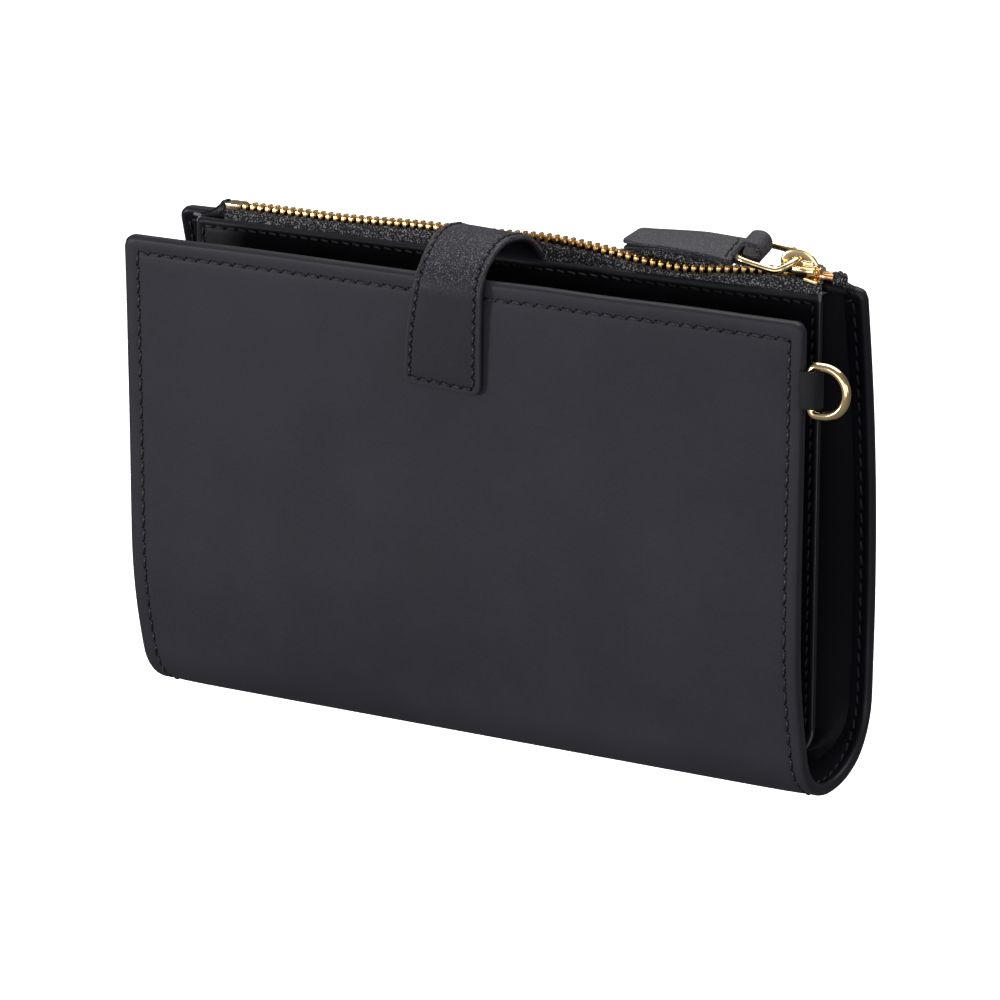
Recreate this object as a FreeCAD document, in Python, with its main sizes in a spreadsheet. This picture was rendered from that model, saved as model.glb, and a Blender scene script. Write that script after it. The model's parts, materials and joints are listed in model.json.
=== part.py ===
import FreeCAD, Part
import math
import os
import re
import Sketcher

# Wristlet wallet: two leather covers stiffened with board round a U-shaped spine, a zip pocket sewn to the rear cover,
# a snap strap from the pocket's wall over the front cover, and a D-ring for a wrist strap.
# X runs along the wallet, Y from the front cover to the rear one, Z up. The origin is on the resting strip.

SIZES = {
    # covers
    "width": 186.7,           # along the wallet
    "front_top": 118.5,       # height of the front cover
    "rear_top": 120.0,        # height of the rear cover
    "leather": 1.3,           # outer skin
    "board": 0.7,             # stiffener inside a cover
    "lining": 0.9,            # inner skin
    "slip": 0.05,             # play round a stiffener
    "edge": 3.0,              # from a cover's edge to its stiffener
    "front_face": 18.5,       # front cover's outer face, forward of the origin
    "knee_height": 30.0,      # where the front cover starts to bend under
    "knee_radius": 110.0,
    "toe_tuck": 7.2,          # from the front face back to the resting strip's front corner
    "toe_radius": 11.0,
    "heel": 20.5,             # rear corner of the resting strip before rounding
    "heel_radius": 18.5,
    "belly": 23.3,  # rear face where its two slopes would meet
    "belly_height": 75.0,
    "belly_radius": 340.0,
    "joint_gap": 0.3,         # between pieces that move against each other
    # zip pocket
    "pocket_front": 4.5,      # wall's front face, behind the origin
    "wall_inset": 6.7,       # from the covers' ends to the wall's
    "wall": 1.2,
    "wall_drop": 0.7,         # wall's top below the rear cover's
    "wall_bottom": 8.0,
    "wall_corner": 8.0,
    "pocket_cloth": 0.4,
    "cloth_gap": 1.0,         # between the cloth and the tapes
    "floor_inset": 8.0,       # from the wall's ends to the floor's
    "rear_play": 0.15,        # between the rear tape and the rear lining
    # zip
    "tape": 0.4,
    "tape_deep": 16.3,        # tapes below the middle of the teeth
    "tape_rise": 0.4,         # tape above the middle of the teeth
    "chain_rise": 4.0,        # middle of the teeth above the wall's top
    "tooth_reach": 2.0,       # half the chain's width
    "tooth_overlap": 0.45,    # a tooth's reach past the chain's middle
    "tooth_deep": 1.6,
    "tooth_long": 1.0,
    "tooth_pitch": 2.2,
    "chain_inset": 12.65,     # from the wall's left end to the first tooth
    "chain_lead": 1.7,        # last tooth stands before this, past the slider's middle
    "stop_long": 4.5,
    "stop_deep": 1.9,
    "top_stop_long": 3.0,
    "fold_long": 5.5,         # folded tape end at the left
    "knot_long": 3.0,         # folded tape end at the right
    "knot_wide": 2.6,
    # slider and pull
    "slider_inset": 7.95,     # from the wall's right end to the slider's middle
    "slider_long": 9.2,
    "slider_wide": 5.8,
    "keel_wide": 3.4,
    "plate": 0.8,
    "plate_lift": 1.2,        # underside of the top plate above the chain's middle
    "rim_lift": 0.6,          # underside of its rims
    "rim": 0.6,
    "wedge_long": 2.0,
    "wedge_wide": 1.0,
    "crown_outer": 4.05,
    "crown_inner": 3.15,
    "crown_wide": 3.0,
    "crown_drop": 0.8,        # crown's centre below the top plate's top
    "ring_wire": 1.3,
    "ring_lift": 3.25,        # ring's bar above the chain's middle
    "ring_long": 12.1,
    "ring_wide": 9.4,
    "ring_corner": 2.0,
    "ring_slope": 5.0,
    "pull_roll": 8.0,
    "tab_long": 28.5,
    "tab_wide": 10.0,
    "tab_skin": 0.75,
    "tab_slope": -2.0,
    "tab_neck": 3.8,
    "tab_corner": 1.6,
    "loop_wide": 6.2,
    "loop_skin": 1.1,         # leather round the ring's bar
    "pull_play": 0.15,        # round the ring's bar
    # snap strap
    "strap_wide": 20.0,
    "strap_place": -0.8,      # strap's middle along the wallet
    "strap_skin": 1.1,
    "strap_back": 0.8,
    "strap_off": 0.5,         # from the front cover's face
    "strap_rise": 7.3,        # top of the arch above the wall's
    "strap_flat": 10.9,       # from the strap's back to where the arch starts to fall
    "strap_turn": 1.8,        # above the front cover, where the strap turns down
    "strap_drop": 27.1,       # from the front cover's top to the strap's tip
    "strap_rear_radius": 5.6,
    "strap_brow_radius": 14.0,
    "strap_front_radius": 4.2,
    "strap_lead": 0.8,        # strap's back ahead of the wall's
    "strap_corner": 2.0,
    "strap_seat": 0.6,        # skived end of the strap inside the wall
    "strap_sewn": 15.0,
    "snap_rise": 7.1,         # from the strap's tip to the snap's middle
    "snap": 10.0,
    "snap_deep": 0.5,
    # card slots
    "card_inset": 4.85,       # from the cover's ends to the panels'
    "card_gap": 3.0,
    "card_skin": 0.7,
    "card_tall": 60.0,        # rearmost card panel
    "card_drop": 14.5,        # its top below the front cover's
    "card_step": 15.0,
    # D-ring and its keeper
    "dring_drop": 15.85,      # D-ring's middle below the front cover's top
    "dring_place": 1.3,       # bar's middle beyond the cover's end
    "dring_wire": 2.0,
    "dring_tall": 11.3,
    "dring_arm": 2.7,
    "dring_corner": 1.4,
    "keeper_tall": 7.9,
    "keeper_skin": 0.8,
    "keeper_play": 0.1,
    "keeper_seat": 2.0,       # sewn into the cover's end
}
CARD_TIERS = 3

doc = FreeCAD.newDocument("WristletWallet")
sheet = doc.addObject("Spreadsheet::Sheet", "Sizes")
for row, (alias, value) in enumerate(SIZES.items(), 1):
    sheet.set(f"A{row}", alias)
    sheet.set(f"B{row}", str(value))
    sheet.setAlias(f"B{row}", alias)
doc.recompute()

nodes = []


def bind(text):
    """A formula on the sheet's names, as FreeCAD reads it."""
    return re.sub(r"[a-z]\w*", lambda word: "Sizes." * (word.group() in SIZES) + word.group(), text)


def value(text):
    return float(sheet.evalExpression(bind(text)))


def keep(item, label):
    item.Label = label
    nodes.append(item)
    return item


# ---- formulas that several pieces share ----
COVER = "(leather + board + lining + 2 * slip)"
WALL_END = "(width / 2 - wall_inset)"
WALL_TOP = "(rear_top - wall_drop)"
CHAIN_MIDDLE = "(pocket_front + wall + tape + tooth_reach)"
CHAIN_HEIGHT = f"({WALL_TOP} + chain_rise)"
CHAIN_START = f"(chain_inset - {WALL_END})"
SLIDER_PLACE = f"({WALL_END} - slider_inset)"
TAPE_START = f"({CHAIN_START} - tooth_pitch / 2 - stop_long)"
TAPE_BOTTOM = f"({CHAIN_HEIGHT} - tape_deep)"
REAR_TAPE = "(pocket_front + wall + tape + 2 * tooth_reach)"
REAR_BACK = f"({REAR_TAPE} + tape + rear_play + {COVER})"
STRAP = "(strap_skin + strap_back)"
STRAP_FRONT = f"(-front_face - strap_off - {STRAP})"
STRAP_REAR = "(pocket_front + wall - strap_lead)"
STRAP_PEAK = f"({WALL_TOP} + strap_rise)"
STRAP_TURN = "(front_top + strap_turn)"
STRAP_TIP = "(front_top - strap_drop)"
SNAP_HEIGHT = f"({STRAP_TIP} + snap_rise)"
DRING_HEIGHT = "(front_top - dring_drop)"


# ---- simple solids bound to the sheet ----
def box(name, corner, size):
    """A block from one corner; each place and size is a formula."""
    solid = doc.addObject("Part::Box", name)
    for axis, formula in zip("xyz", corner):
        solid.setExpression(f"Placement.Base.{axis}", bind(formula))
    for side, formula in zip(("Length", "Width", "Height"), size):
        solid.setExpression(side, bind(formula))
    return solid


def rod(name, base, radius, length, direction="Z"):
    """A round bar along X, Y or Z from the middle of its first end."""
    solid = doc.addObject("Part::Cylinder", name)
    turns = {"X": ((0, 1, 0), 90), "Y": ((1, 0, 0), -90), "Z": ((0, 0, 1), 0)}
    axis, angle = turns[direction]
    solid.Placement.Rotation = FreeCAD.Rotation(FreeCAD.Vector(*axis), angle)
    for axis, formula in zip("xyz", base):
        solid.setExpression(f"Placement.Base.{axis}", bind(formula))
    solid.setExpression("Radius", bind(radius))
    solid.setExpression("Height", bind(length))
    return solid


def combine(kind, name, *shapes):
    """Part::MultiFuse, Part::MultiCommon, or Part::Cut of the first two."""
    result = doc.addObject("Part::" + kind, name)
    if kind == "Cut":
        result.Base, result.Tool = shapes
    else:
        result.Shapes = list(shapes)
    return result


# ---- bent leather: a route in the YZ plane, and strips that follow it ----
def vector(y, z, x=0.0):
    return FreeCAD.Vector(x, y, z)


def left(way):
    return vector(-way.z, way.y)


class Route:
    """Straight runs joined by tangent bends. Depth is measured to the left of the way along it.
    A place on it is a number: the piece's index and the share of the piece that lies behind."""

    def __init__(self, points, bends):
        """Bends name the inner corners and give their radii, smaller where a run is too short for them."""
        corners = [vector(value(y), value(z)) for y, z in points]
        ways = [(end - start).normalize() for start, end in zip(corners, corners[1:])]
        turns = [math.atan2(into.y * out.z - into.z * out.y, into.dot(out))
                 for into, out in zip(ways, ways[1:])]
        wanted = [value(radius) * math.tan(abs(turn) / 2) for radius, turn in zip(bends.values(), turns)]
        lengths = [(end - start).Length for start, end in zip(corners, corners[1:])]
        room = [min(1.0, length / (before + after)) for length, before, after
                in zip(lengths, [0.0] + wanted, wanted + [0.0])]
        reaches = [reach * min(sides) for reach, sides in zip(wanted, zip(room, room[1:]))]
        self.runs, self.bends = [], {}
        here = corners[0]
        for name, corner, into, out, turn, reach in zip(bends, corners[1:], ways, ways[1:], turns, reaches):
            start = corner - into * reach
            centre = start + left(into) * (reach / math.tan(turn / 2))
            self.runs.append(("line", here, start - here, 0.0))
            self.bends[name] = len(self.runs)
            self.runs.append(("bend", centre, start - centre, turn))
            here = corner + out * reach
        self.runs.append(("line", here, corners[-1] - here, 0.0))

    def spot(self, index, share, depth, x=0.0):
        kind, origin, arm, turn = self.runs[index]
        if kind == "line":
            here = origin + arm * share + left(FreeCAD.Vector(arm).normalize()) * depth
        else:
            angle = turn * share
            spoke = vector(arm.y * math.cos(angle) - arm.z * math.sin(angle),
                           arm.y * math.sin(angle) + arm.z * math.cos(angle))
            here = origin + spoke * (1 - math.copysign(depth, turn) / arm.Length)
        return FreeCAD.Vector(x, here.y, here.z)

    def ahead(self, index, distance):
        """The place that lies a distance past the start of a piece, or before its end if negative."""
        kind, origin, arm, turn = self.runs[index]
        length = arm.Length * (abs(turn) if kind == "bend" else 1.0)
        return index + distance / length + (1 if distance < 0 else 0)

    def half(self, name, distance=0.0):
        """The middle of a named bend, moved along it by a distance."""
        index = self.bends[name]
        kind, origin, arm, turn = self.runs[index]
        return index + 0.5 + distance / (arm.Length * abs(turn))

    def edges(self, depth, x, first, last):
        traced = []
        for index, run in enumerate(self.runs):
            start, end = max(first - index, 0), min(last - index, 1)
            if end - start < 1e-6:
                continue
            ends = [self.spot(index, share, depth, x) for share in (start, end)]
            if run[0] == "line":
                traced.append(Part.LineSegment(*ends).toShape())
            else:
                middle = self.spot(index, (start + end) / 2, depth, x)
                traced.append(Part.Arc(ends[0], middle, ends[1]).toShape())
        return traced

    def band(self, near, far, x, first=0.0, last=None):
        """The closed outline between two depths."""
        last = len(self.runs) if last is None else last
        outer, inner = (self.edges(depth, x, first, last) for depth in (near, far))
        caps = [Part.LineSegment(a[side].Vertexes[end].Point, b[side].Vertexes[end].Point).toShape()
                for a, b, side, end in ((outer, inner, 0, 0), (outer, inner, -1, -1))]
        return Part.Wire(Part.__sortEdges__(outer + inner + caps))


def strip(label, route, near, far, half_width, first=0.0, last=None, middle="0"):
    """A strip of leather that follows a route; middle is its place along the wallet."""
    outline = route.band(value(near), value(far), value(f"{middle} - ({half_width})"), first, last)
    item = doc.addObject("Part::Feature", label)
    item.Shape = Part.Face(outline).extrude(FreeCAD.Vector(value(f"2 * ({half_width})"), 0, 0))
    return item


cover_route = Route(
    [("-front_face", "front_top"), ("-front_face", "knee_height"), ("toe_tuck - front_face", "0"),
     ("heel", "0"), ("belly", "belly_height"), (REAR_BACK, "rear_top")],
    {"knee": "knee_radius", "toe": "toe_radius", "heel": "heel_radius", "belly": "belly_radius"})
half_gap = value("joint_gap / 2")
SPANS = {
    "front": (0.0, cover_route.half("toe", -half_gap)),
    "spine": (cover_route.half("toe", half_gap), cover_route.half("heel", -half_gap)),
    "rear": (cover_route.half("heel", half_gap), len(cover_route.runs)),
}
INNER_SKIN = f"{COVER} - lining"


# ---- covers and spine ----
def make_covers():
    """Outer and inner skins. The front ones are notched where the D-ring's keeper is sewn in."""
    for name, label in (("front", "front_cover"), ("spine", "spine"), ("rear", "rear_cover")):
        for skin, near, far in (("leather", "0", "leather"), ("lining", INNER_SKIN, COVER)):
            piece = strip(name.title() + skin.title(), cover_route, near, far, "width / 2", *SPANS[name])
            if name == "front":
                corner = ("width / 2 - keeper_seat - slip", f"-front_face - {COVER}",
                          f"{DRING_HEIGHT} - keeper_tall / 2 - slip")
                notch = box(f"{skin.title()}Notch", corner,
                            ("2 * keeper_seat", f"3 * {COVER}", "keeper_tall + 2 * slip"))
                piece = combine("Cut", f"Notched{skin.title()}", piece, notch)
            keep(piece, f"{label}_{skin}")


def make_boards():
    trim = value("edge")
    near, far = "leather + slip", "leather + slip + board"
    front = strip("FrontBoard", cover_route, near, far, "width / 2 - edge",
                  cover_route.ahead(0, trim), cover_route.bends["knee"])
    hole = rod("BoardHole", ("strap_place", "-front_face", SNAP_HEIGHT), "snap / 2 + slip", COVER, "Y")
    keep(combine("Cut", "FrontStiffener", front, hole), "front_cover_stiffener")
    rear = strip("RearBoard", cover_route, near, far, "width / 2 - edge",
                 cover_route.bends["heel"] + 1, cover_route.ahead(len(cover_route.runs) - 1, -trim))
    keep(rear, "rear_cover_stiffener")


def make_snap_discs():
    discs = (("FrontDisc", "-front_face + leather + slip", "board", "front_snap_magnet"),
             ("StrapDisc", f"{STRAP_FRONT} + strap_skin - snap_deep", "snap_deep", "strap_snap_magnet"))
    for name, face, deep, label in discs:
        keep(rod(name, ("strap_place", face, SNAP_HEIGHT), "snap / 2", deep, "Y"), label)


# ---- zip pocket ----
def plane(body, role):
    return next(item for item in body.Origin.OriginFeatures if item.Role == role)


def panel_sketch(body, name, lift, sides):
    """A rectangle seen from the front, lift behind the XZ plane; sides are left, bottom, right and top."""
    sketch = body.newObject("Sketcher::SketchObject", name)
    sketch.AttachmentSupport = [(plane(body, "XZ_Plane"), "")]
    sketch.MapMode = "FlatFace"
    sketch.setExpression("AttachmentOffset.Base.z", bind(f"-({lift})"))
    x0, z0, x1, z1 = (value(side) for side in sides)
    corners = [FreeCAD.Vector(x, z, 0) for x, z in ((x0, z0), (x1, z0), (x1, z1), (x0, z1))]
    for start, end in zip(corners, corners[1:] + corners[:1]):
        sketch.addGeometry(Part.LineSegment(start, end), False)
    for line in range(4):
        sketch.addConstraint(Sketcher.Constraint("Coincident", line, 2, (line + 1) % 4, 1))
        sketch.addConstraint(Sketcher.Constraint("Vertical" if line % 2 else "Horizontal", line))
    for line, kind, formula in ((0, "DistanceX", sides[0]), (0, "DistanceY", sides[1]),
                                (2, "DistanceX", sides[2]), (2, "DistanceY", sides[3])):
        number = sketch.addConstraint(Sketcher.Constraint(kind, -1, 1, line, 1, value(formula)))
        sketch.setExpression(f"Constraints[{number}]", bind(formula))
    return sketch


def make_wall():
    """The pocket's front wall: round lower corners, and a recess behind it for the strap's skived end."""
    body = doc.addObject("PartDesign::Body", "PocketWall")
    outline = panel_sketch(body, "WallOutline", "pocket_front + wall",
                           (f"-{WALL_END}", "wall_bottom", WALL_END, WALL_TOP))
    pad = body.newObject("PartDesign::Pad", "WallPad")
    pad.Profile = outline
    pad.setExpression("Length", bind("wall"))
    doc.recompute()
    low = [f"Edge{number}" for number, edge in enumerate(pad.Shape.Edges, 1)
           if edge.Length < 2 * value("wall") and edge.CenterOfMass.z < value(f"{WALL_TOP} / 2")]
    fillet = body.newObject("PartDesign::Fillet", "WallCorners")
    fillet.Base = (pad, low)
    fillet.setExpression("Radius", bind("wall_corner"))
    doc.recompute()
    seat = panel_sketch(body, "StrapSeat", "pocket_front + wall",
                        ("strap_place - strap_wide / 2 - slip", f"{WALL_TOP} - strap_sewn - slip",
                         "strap_place + strap_wide / 2 + slip", f"{WALL_TOP} + wall"))
    pocket = body.newObject("PartDesign::Pocket", "StrapRecess")
    pocket.Profile = seat
    pocket.setExpression("Length", bind("strap_seat"))
    pocket.Reversed = True
    doc.recompute()
    body.Tip = pocket
    keep(body, "pocket_front_wall")


def make_pocket():
    make_wall()
    keep(box("StrapEnd", ("strap_place - strap_wide / 2", "pocket_front + wall - strap_seat + slip",
                          f"{WALL_TOP} - strap_sewn"), ("strap_wide", "strap_seat - slip", "strap_sewn")),
         "strap_sewn_end")
    keep(box("Cloth", (f"-{WALL_END} + wall + slip", "pocket_front + wall", "wall_bottom + wall_corner"),
             (f"2 * ({WALL_END} - wall - slip)", "pocket_cloth",
              f"{TAPE_BOTTOM} - cloth_gap - wall_bottom - wall_corner")),
         "pocket_cloth")
    panel("pocket_floor", f"-{WALL_END} + floor_inset", f"2 * ({WALL_END} - floor_inset)",
          "wall_bottom + wall", "wall_bottom + 2 * wall")
    low, high = "wall_bottom + wall_corner", f"{WALL_TOP} - joint_gap"
    panel("pocket_gusset_left", f"-{WALL_END}", "wall", low, high)
    panel("pocket_gusset_right", WALL_END, "-wall", low, high)


def panel(label, x_start, x_size, bottom, top):
    """A panel from the front wall back to the rear lining, whose curve it follows."""
    x, front = value(x_start), value("pocket_front + wall")
    back = cover_route.edges(value(f"{COVER} + slip"), x, cover_route.bends["heel"],
                             len(cover_route.runs))
    lowest, highest = back[0].Vertexes[0].Point, back[-1].Vertexes[-1].Point
    corners = [highest, FreeCAD.Vector(x, front, highest.z), FreeCAD.Vector(x, front, lowest.z), lowest]
    front_edges = [Part.LineSegment(*ends).toShape() for ends in zip(corners, corners[1:])
                   if (ends[1] - ends[0]).Length > 1e-6]
    slab = Part.Face(Part.Wire(Part.__sortEdges__(back + front_edges))).extrude(
        FreeCAD.Vector(value(x_size), 0, 0))
    window = Part.makeBox(value("width"), value("width"), value(f"{top} - ({bottom})"),
                          FreeCAD.Vector(-value("width / 2"), front, value(bottom)))
    item = doc.addObject("Part::Feature", label)
    item.Shape = slab.common(window)
    keep(item, label)


# ---- zip ----
def make_tapes():
    size = (f"{WALL_END} - wall - slip - {TAPE_START}", "tape", "tape_deep + tape_rise")
    keep(box("FrontTape", (TAPE_START, "pocket_front + wall", TAPE_BOTTOM), size), "zip_tape_front")
    keep(box("RearTape", (TAPE_START, REAR_TAPE, TAPE_BOTTOM), size), "zip_tape_rear")


def make_teeth():
    """Two rows of teeth, half a pitch apart, each reaching past the chain's middle."""
    pitch, long, deep = value("tooth_pitch"), value("tooth_long"), value("tooth_deep")
    reach, overlap = value("tooth_reach"), value("tooth_overlap")
    middle, height = value(CHAIN_MIDDLE), value(CHAIN_HEIGHT)
    count = int((value(f"{SLIDER_PLACE} + chain_lead - {CHAIN_START}") - pitch / 2) / pitch)
    for label, shift, y in (("front", 0.0, middle - reach), ("rear", pitch / 2, middle - overlap)):
        first = value(CHAIN_START) + shift - long / 2
        teeth = [Part.makeBox(long, reach + overlap, deep,
                              FreeCAD.Vector(first + pitch * number, y, height - deep / 2))
                 for number in range(count)]
        item = doc.addObject("Part::Feature", f"zip_teeth_{label}")
        item.Shape = Part.makeCompound(teeth)
        keep(item, f"zip_teeth_{label}")


def make_stops():
    low = f"{CHAIN_HEIGHT} - stop_deep / 2"
    keep(box("BottomStop", (TAPE_START, f"{CHAIN_MIDDLE} - tooth_reach", low),
             ("stop_long", "2 * tooth_reach", "stop_deep")), "zip_bottom_stop")
    start = f"{SLIDER_PLACE} + slider_long / 2 + joint_gap"
    front = box("FrontStop", (start, f"{CHAIN_MIDDLE} - tooth_reach", low),
                ("top_stop_long", "tooth_reach - 2 * slip", "stop_deep"))
    rear = box("RearStop", (start, f"{CHAIN_MIDDLE} + 2 * slip", low),
               ("top_stop_long", "tooth_reach - 2 * slip", "stop_deep"))
    pair = doc.addObject("Part::Compound", "TopStops")
    pair.Links = [front, rear]
    keep(pair, "zip_top_stops")
    keep(box("LeftFold", (f"{TAPE_START} - fold_long", f"{CHAIN_MIDDLE} - tooth_reach",
                          f"{CHAIN_HEIGHT} - 3 * stop_deep / 2"),
             ("fold_long", "2 * tooth_reach", "2 * stop_deep")), "tape_end_left")
    keep(box("RightKnot", (f"{start} + top_stop_long", f"{CHAIN_MIDDLE} - knot_wide / 2",
                           f"{CHAIN_HEIGHT} - knot_wide / 2"), ("knot_long", "knot_wide", "knot_wide")),
         "tape_end_right")


# ---- slider ----
def make_slider():
    """Two plates joined by a wedge, with rims down to the tapes, and the crown that holds the ring."""
    x0, y0 = f"{SLIDER_PLACE} - slider_long / 2", f"{CHAIN_MIDDLE} - slider_wide / 2"
    top = box("TopPlate", (x0, y0, f"{CHAIN_HEIGHT} + plate_lift"), ("slider_long", "slider_wide", "plate"))
    rims = [box(f"Rim{side}", (x0, place, f"{CHAIN_HEIGHT} + rim_lift"),
                ("slider_long", "rim", "plate_lift - rim_lift"))
            for side, place in (("Front", y0), ("Rear", f"{y0} + slider_wide - rim"))]
    keel = box("Keel", (x0, f"{CHAIN_MIDDLE} - keel_wide / 2", f"{CHAIN_HEIGHT} - plate_lift - plate"),
               ("slider_long", "keel_wide", "plate"))
    low = f"{CHAIN_HEIGHT} - plate_lift - plate"
    wedge = box("Wedge", (f"{x0} + slider_long - wedge_long", f"{CHAIN_MIDDLE} - wedge_wide / 2", low),
                ("wedge_long", "wedge_wide", "2 * (plate_lift + plate)"))
    keep(combine("MultiFuse", "SliderBody", top, *rims, keel, wedge), "slider_body")
    middle = f"{CHAIN_HEIGHT} + plate_lift + plate - crown_drop"
    base = (SLIDER_PLACE, f"{CHAIN_MIDDLE} - crown_wide / 2", middle)
    outer = rod("CrownOuter", base, "crown_outer", "crown_wide", "Y")
    above = box("AbovePlate", (f"{SLIDER_PLACE} - slider_long", y0, f"{CHAIN_HEIGHT} + plate_lift + plate"),
                ("2 * slider_long", "slider_wide", "2 * crown_outer"))
    dome = combine("MultiCommon", "CrownDome", outer, above)
    hole = rod("CrownHole", base, "crown_inner", "crown_wide", "Y")
    keep(combine("Cut", "Crown", dome, hole), "slider_crown")


def loop_wire(points, corners):
    """A closed flat loop round points in the XY plane, each with its own corner radius."""
    edges, ends = [], []
    befores, afters = points[-1:] + points[:-1], points[1:] + points[:1]
    for before, here, after, corner in zip(befores, points, afters, corners):
        into, out = (here - before).normalize(), (after - here).normalize()
        reach = corner * math.tan(into.getAngle(out) / 2)
        start, end = here - into * reach, here + out * reach
        bisector = (out - into).normalize()
        centre = here + bisector * math.hypot(corner, reach)
        edges.append(Part.Arc(start, centre - bisector * corner, end).toShape())
        ends.append((start, end))
    for (_, start), (end, _) in zip(ends, ends[1:] + ends[:1]):
        if (end - start).Length > 1e-4:
            edges.append(Part.LineSegment(start, end).toShape())
    return Part.Wire(Part.__sortEdges__(edges))


def bent_wire(label, path, gauge):
    """Round wire bent along a closed path."""
    start = path.Edges[0].valueAt(path.Edges[0].FirstParameter)
    way = path.Edges[0].tangentAt(path.Edges[0].FirstParameter)
    section = Part.Wire(Part.Circle(start, way, gauge / 2).toShape())
    item = doc.addObject("Part::Feature", label)
    item.Shape = path.makePipeShell([section], True, False)
    return item


def pull_frame():
    """The pull's own frame: its origin in the crown, X towards the tab, rolled towards the front."""
    place = FreeCAD.Vector(value(SLIDER_PLACE), value(CHAIN_MIDDLE), value(f"{CHAIN_HEIGHT} + ring_lift"))
    face_left = FreeCAD.Rotation(FreeCAD.Vector(0, 0, 1), 180)
    roll = FreeCAD.Rotation(FreeCAD.Vector(1, 0, 0), value("pull_roll"))
    return FreeCAD.Placement(place, roll * face_left)


def swung(angle):
    """A turn of the given angle about the frame's own cross axis, raising what lies along X."""
    return FreeCAD.Placement(FreeCAD.Vector(), FreeCAD.Rotation(FreeCAD.Vector(0, 1, 0), -angle))


def make_ring():
    long, half = value("ring_long"), value("ring_wide / 2")
    corners = [FreeCAD.Vector(x, y, 0) for x, y in ((0, -half), (long, -half), (long, half), (0, half))]
    ring = bent_wire("pull_ring", loop_wire(corners, [value("ring_corner")] * 4), value("ring_wire"))
    ring.Placement = pull_frame() * swung(value("ring_slope"))
    keep(ring, "pull_ring")


def make_tab():
    """The tab's two leather skins, and the loop that joins them round the ring's bar."""
    grip, skin = value("ring_wire / 2 + pull_play"), value("loop_skin")
    wide, neck = value("loop_wide"), value("tab_neck")
    shift = FreeCAD.Placement(FreeCAD.Vector(value("ring_long"), 0, 0), FreeCAD.Rotation())
    seat = pull_frame() * swung(value("ring_slope")) * shift * swung(value("tab_slope - ring_slope"))
    start, along = FreeCAD.Vector(0, -wide / 2, 0), FreeCAD.Vector(0, 1, 0)
    eye = Part.makeCylinder(grip + skin, wide, start, along)
    shank = Part.makeBox(neck, wide, 2 * value("tab_skin"), start - FreeCAD.Vector(0, 0, value("tab_skin")))
    hole = Part.makeCylinder(grip, wide, start, along)
    loop = doc.addObject("Part::Feature", "pull_tab_loop")
    loop.Shape = eye.fuse(shank).cut(hole).removeSplitter()
    loop.Placement = seat
    keep(loop, "pull_tab_loop")
    long, wide, skin = value("tab_long"), value("tab_wide"), value("tab_skin")
    for name, low in (("pull_tab_top", 0.0), ("pull_tab_bottom", -skin)):
        blade = Part.makeBox(long, wide, skin, FreeCAD.Vector(neck, -wide / 2, low))
        tips = [edge for edge in blade.Edges
                if edge.Length < 1.5 * skin and edge.CenterOfMass.x > neck + long / 2]
        item = doc.addObject("Part::Feature", name)
        item.Shape = blade.makeFillet(value("tab_corner"), tips)
        item.Placement = seat
        keep(item, name)


# ---- snap strap ----
def make_strap():
    route = Route(
        [(STRAP_REAR, f"{WALL_TOP} + joint_gap"), (STRAP_REAR, STRAP_PEAK),
         (f"{STRAP_REAR} - strap_flat", STRAP_PEAK),
         (STRAP_FRONT, STRAP_TURN), (STRAP_FRONT, STRAP_TIP)],
        {"rear": "strap_rear_radius", "brow": "strap_brow_radius", "front": "strap_front_radius"})
    place = "strap_place"
    outer = strip("StrapOuter", route, "0", "strap_skin", "strap_wide / 2", middle=place)
    pit = rod("SnapPit", (place, f"{STRAP_FRONT} + strap_skin - snap_deep - slip", SNAP_HEIGHT),
              "snap / 2 + slip", "snap_deep + slip", "Y")
    cut = combine("Cut", "StrapSkin", outer, pit)
    inner = strip("StrapInner", route, "strap_skin", STRAP, "strap_wide / 2", middle=place)
    keep(combine("MultiCommon", "StrapOuterTip", cut, strap_shape("OuterTip")), "strap_outer")
    keep(combine("MultiCommon", "StrapInnerTip", inner, strap_shape("InnerTip")), "strap_lining")


def strap_shape(name):
    """A block round the whole strap whose two corners at the tip are round."""
    body = doc.addObject("Part::Feature", name)
    wide, tall = value("strap_wide"), value(f"{STRAP_PEAK} - {STRAP_TIP}")
    corner = FreeCAD.Vector(value("strap_place") - wide / 2, -value("width"), value(STRAP_TIP))
    block = Part.makeBox(wide, value("2 * width"), tall, corner)
    tips = [edge for edge in block.Edges
            if edge.Length > value("width") and edge.CenterOfMass.z < value(STRAP_TURN)]
    body.Shape = block.makeFillet(value("strap_corner"), tips)
    return body


# ---- card slots inside the front cover ----
def make_card_slots():
    inner = f"-front_face + {COVER}"
    floor = "front_top - card_drop - card_tall"
    wide = "(width / 2 - card_inset - card_gap / 2)"
    for side, start in (("left", f"-card_gap / 2 - {wide}"), ("right", "card_gap / 2")):
        for tier in range(CARD_TIERS):
            keep(box(f"Card{side}{tier}", (start, f"{inner} + {tier} * card_skin", floor),
                     (wide, "card_skin", f"card_tall - {tier} * card_step")),
                 f"card_slot_{side}_{tier + 1}")


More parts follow.
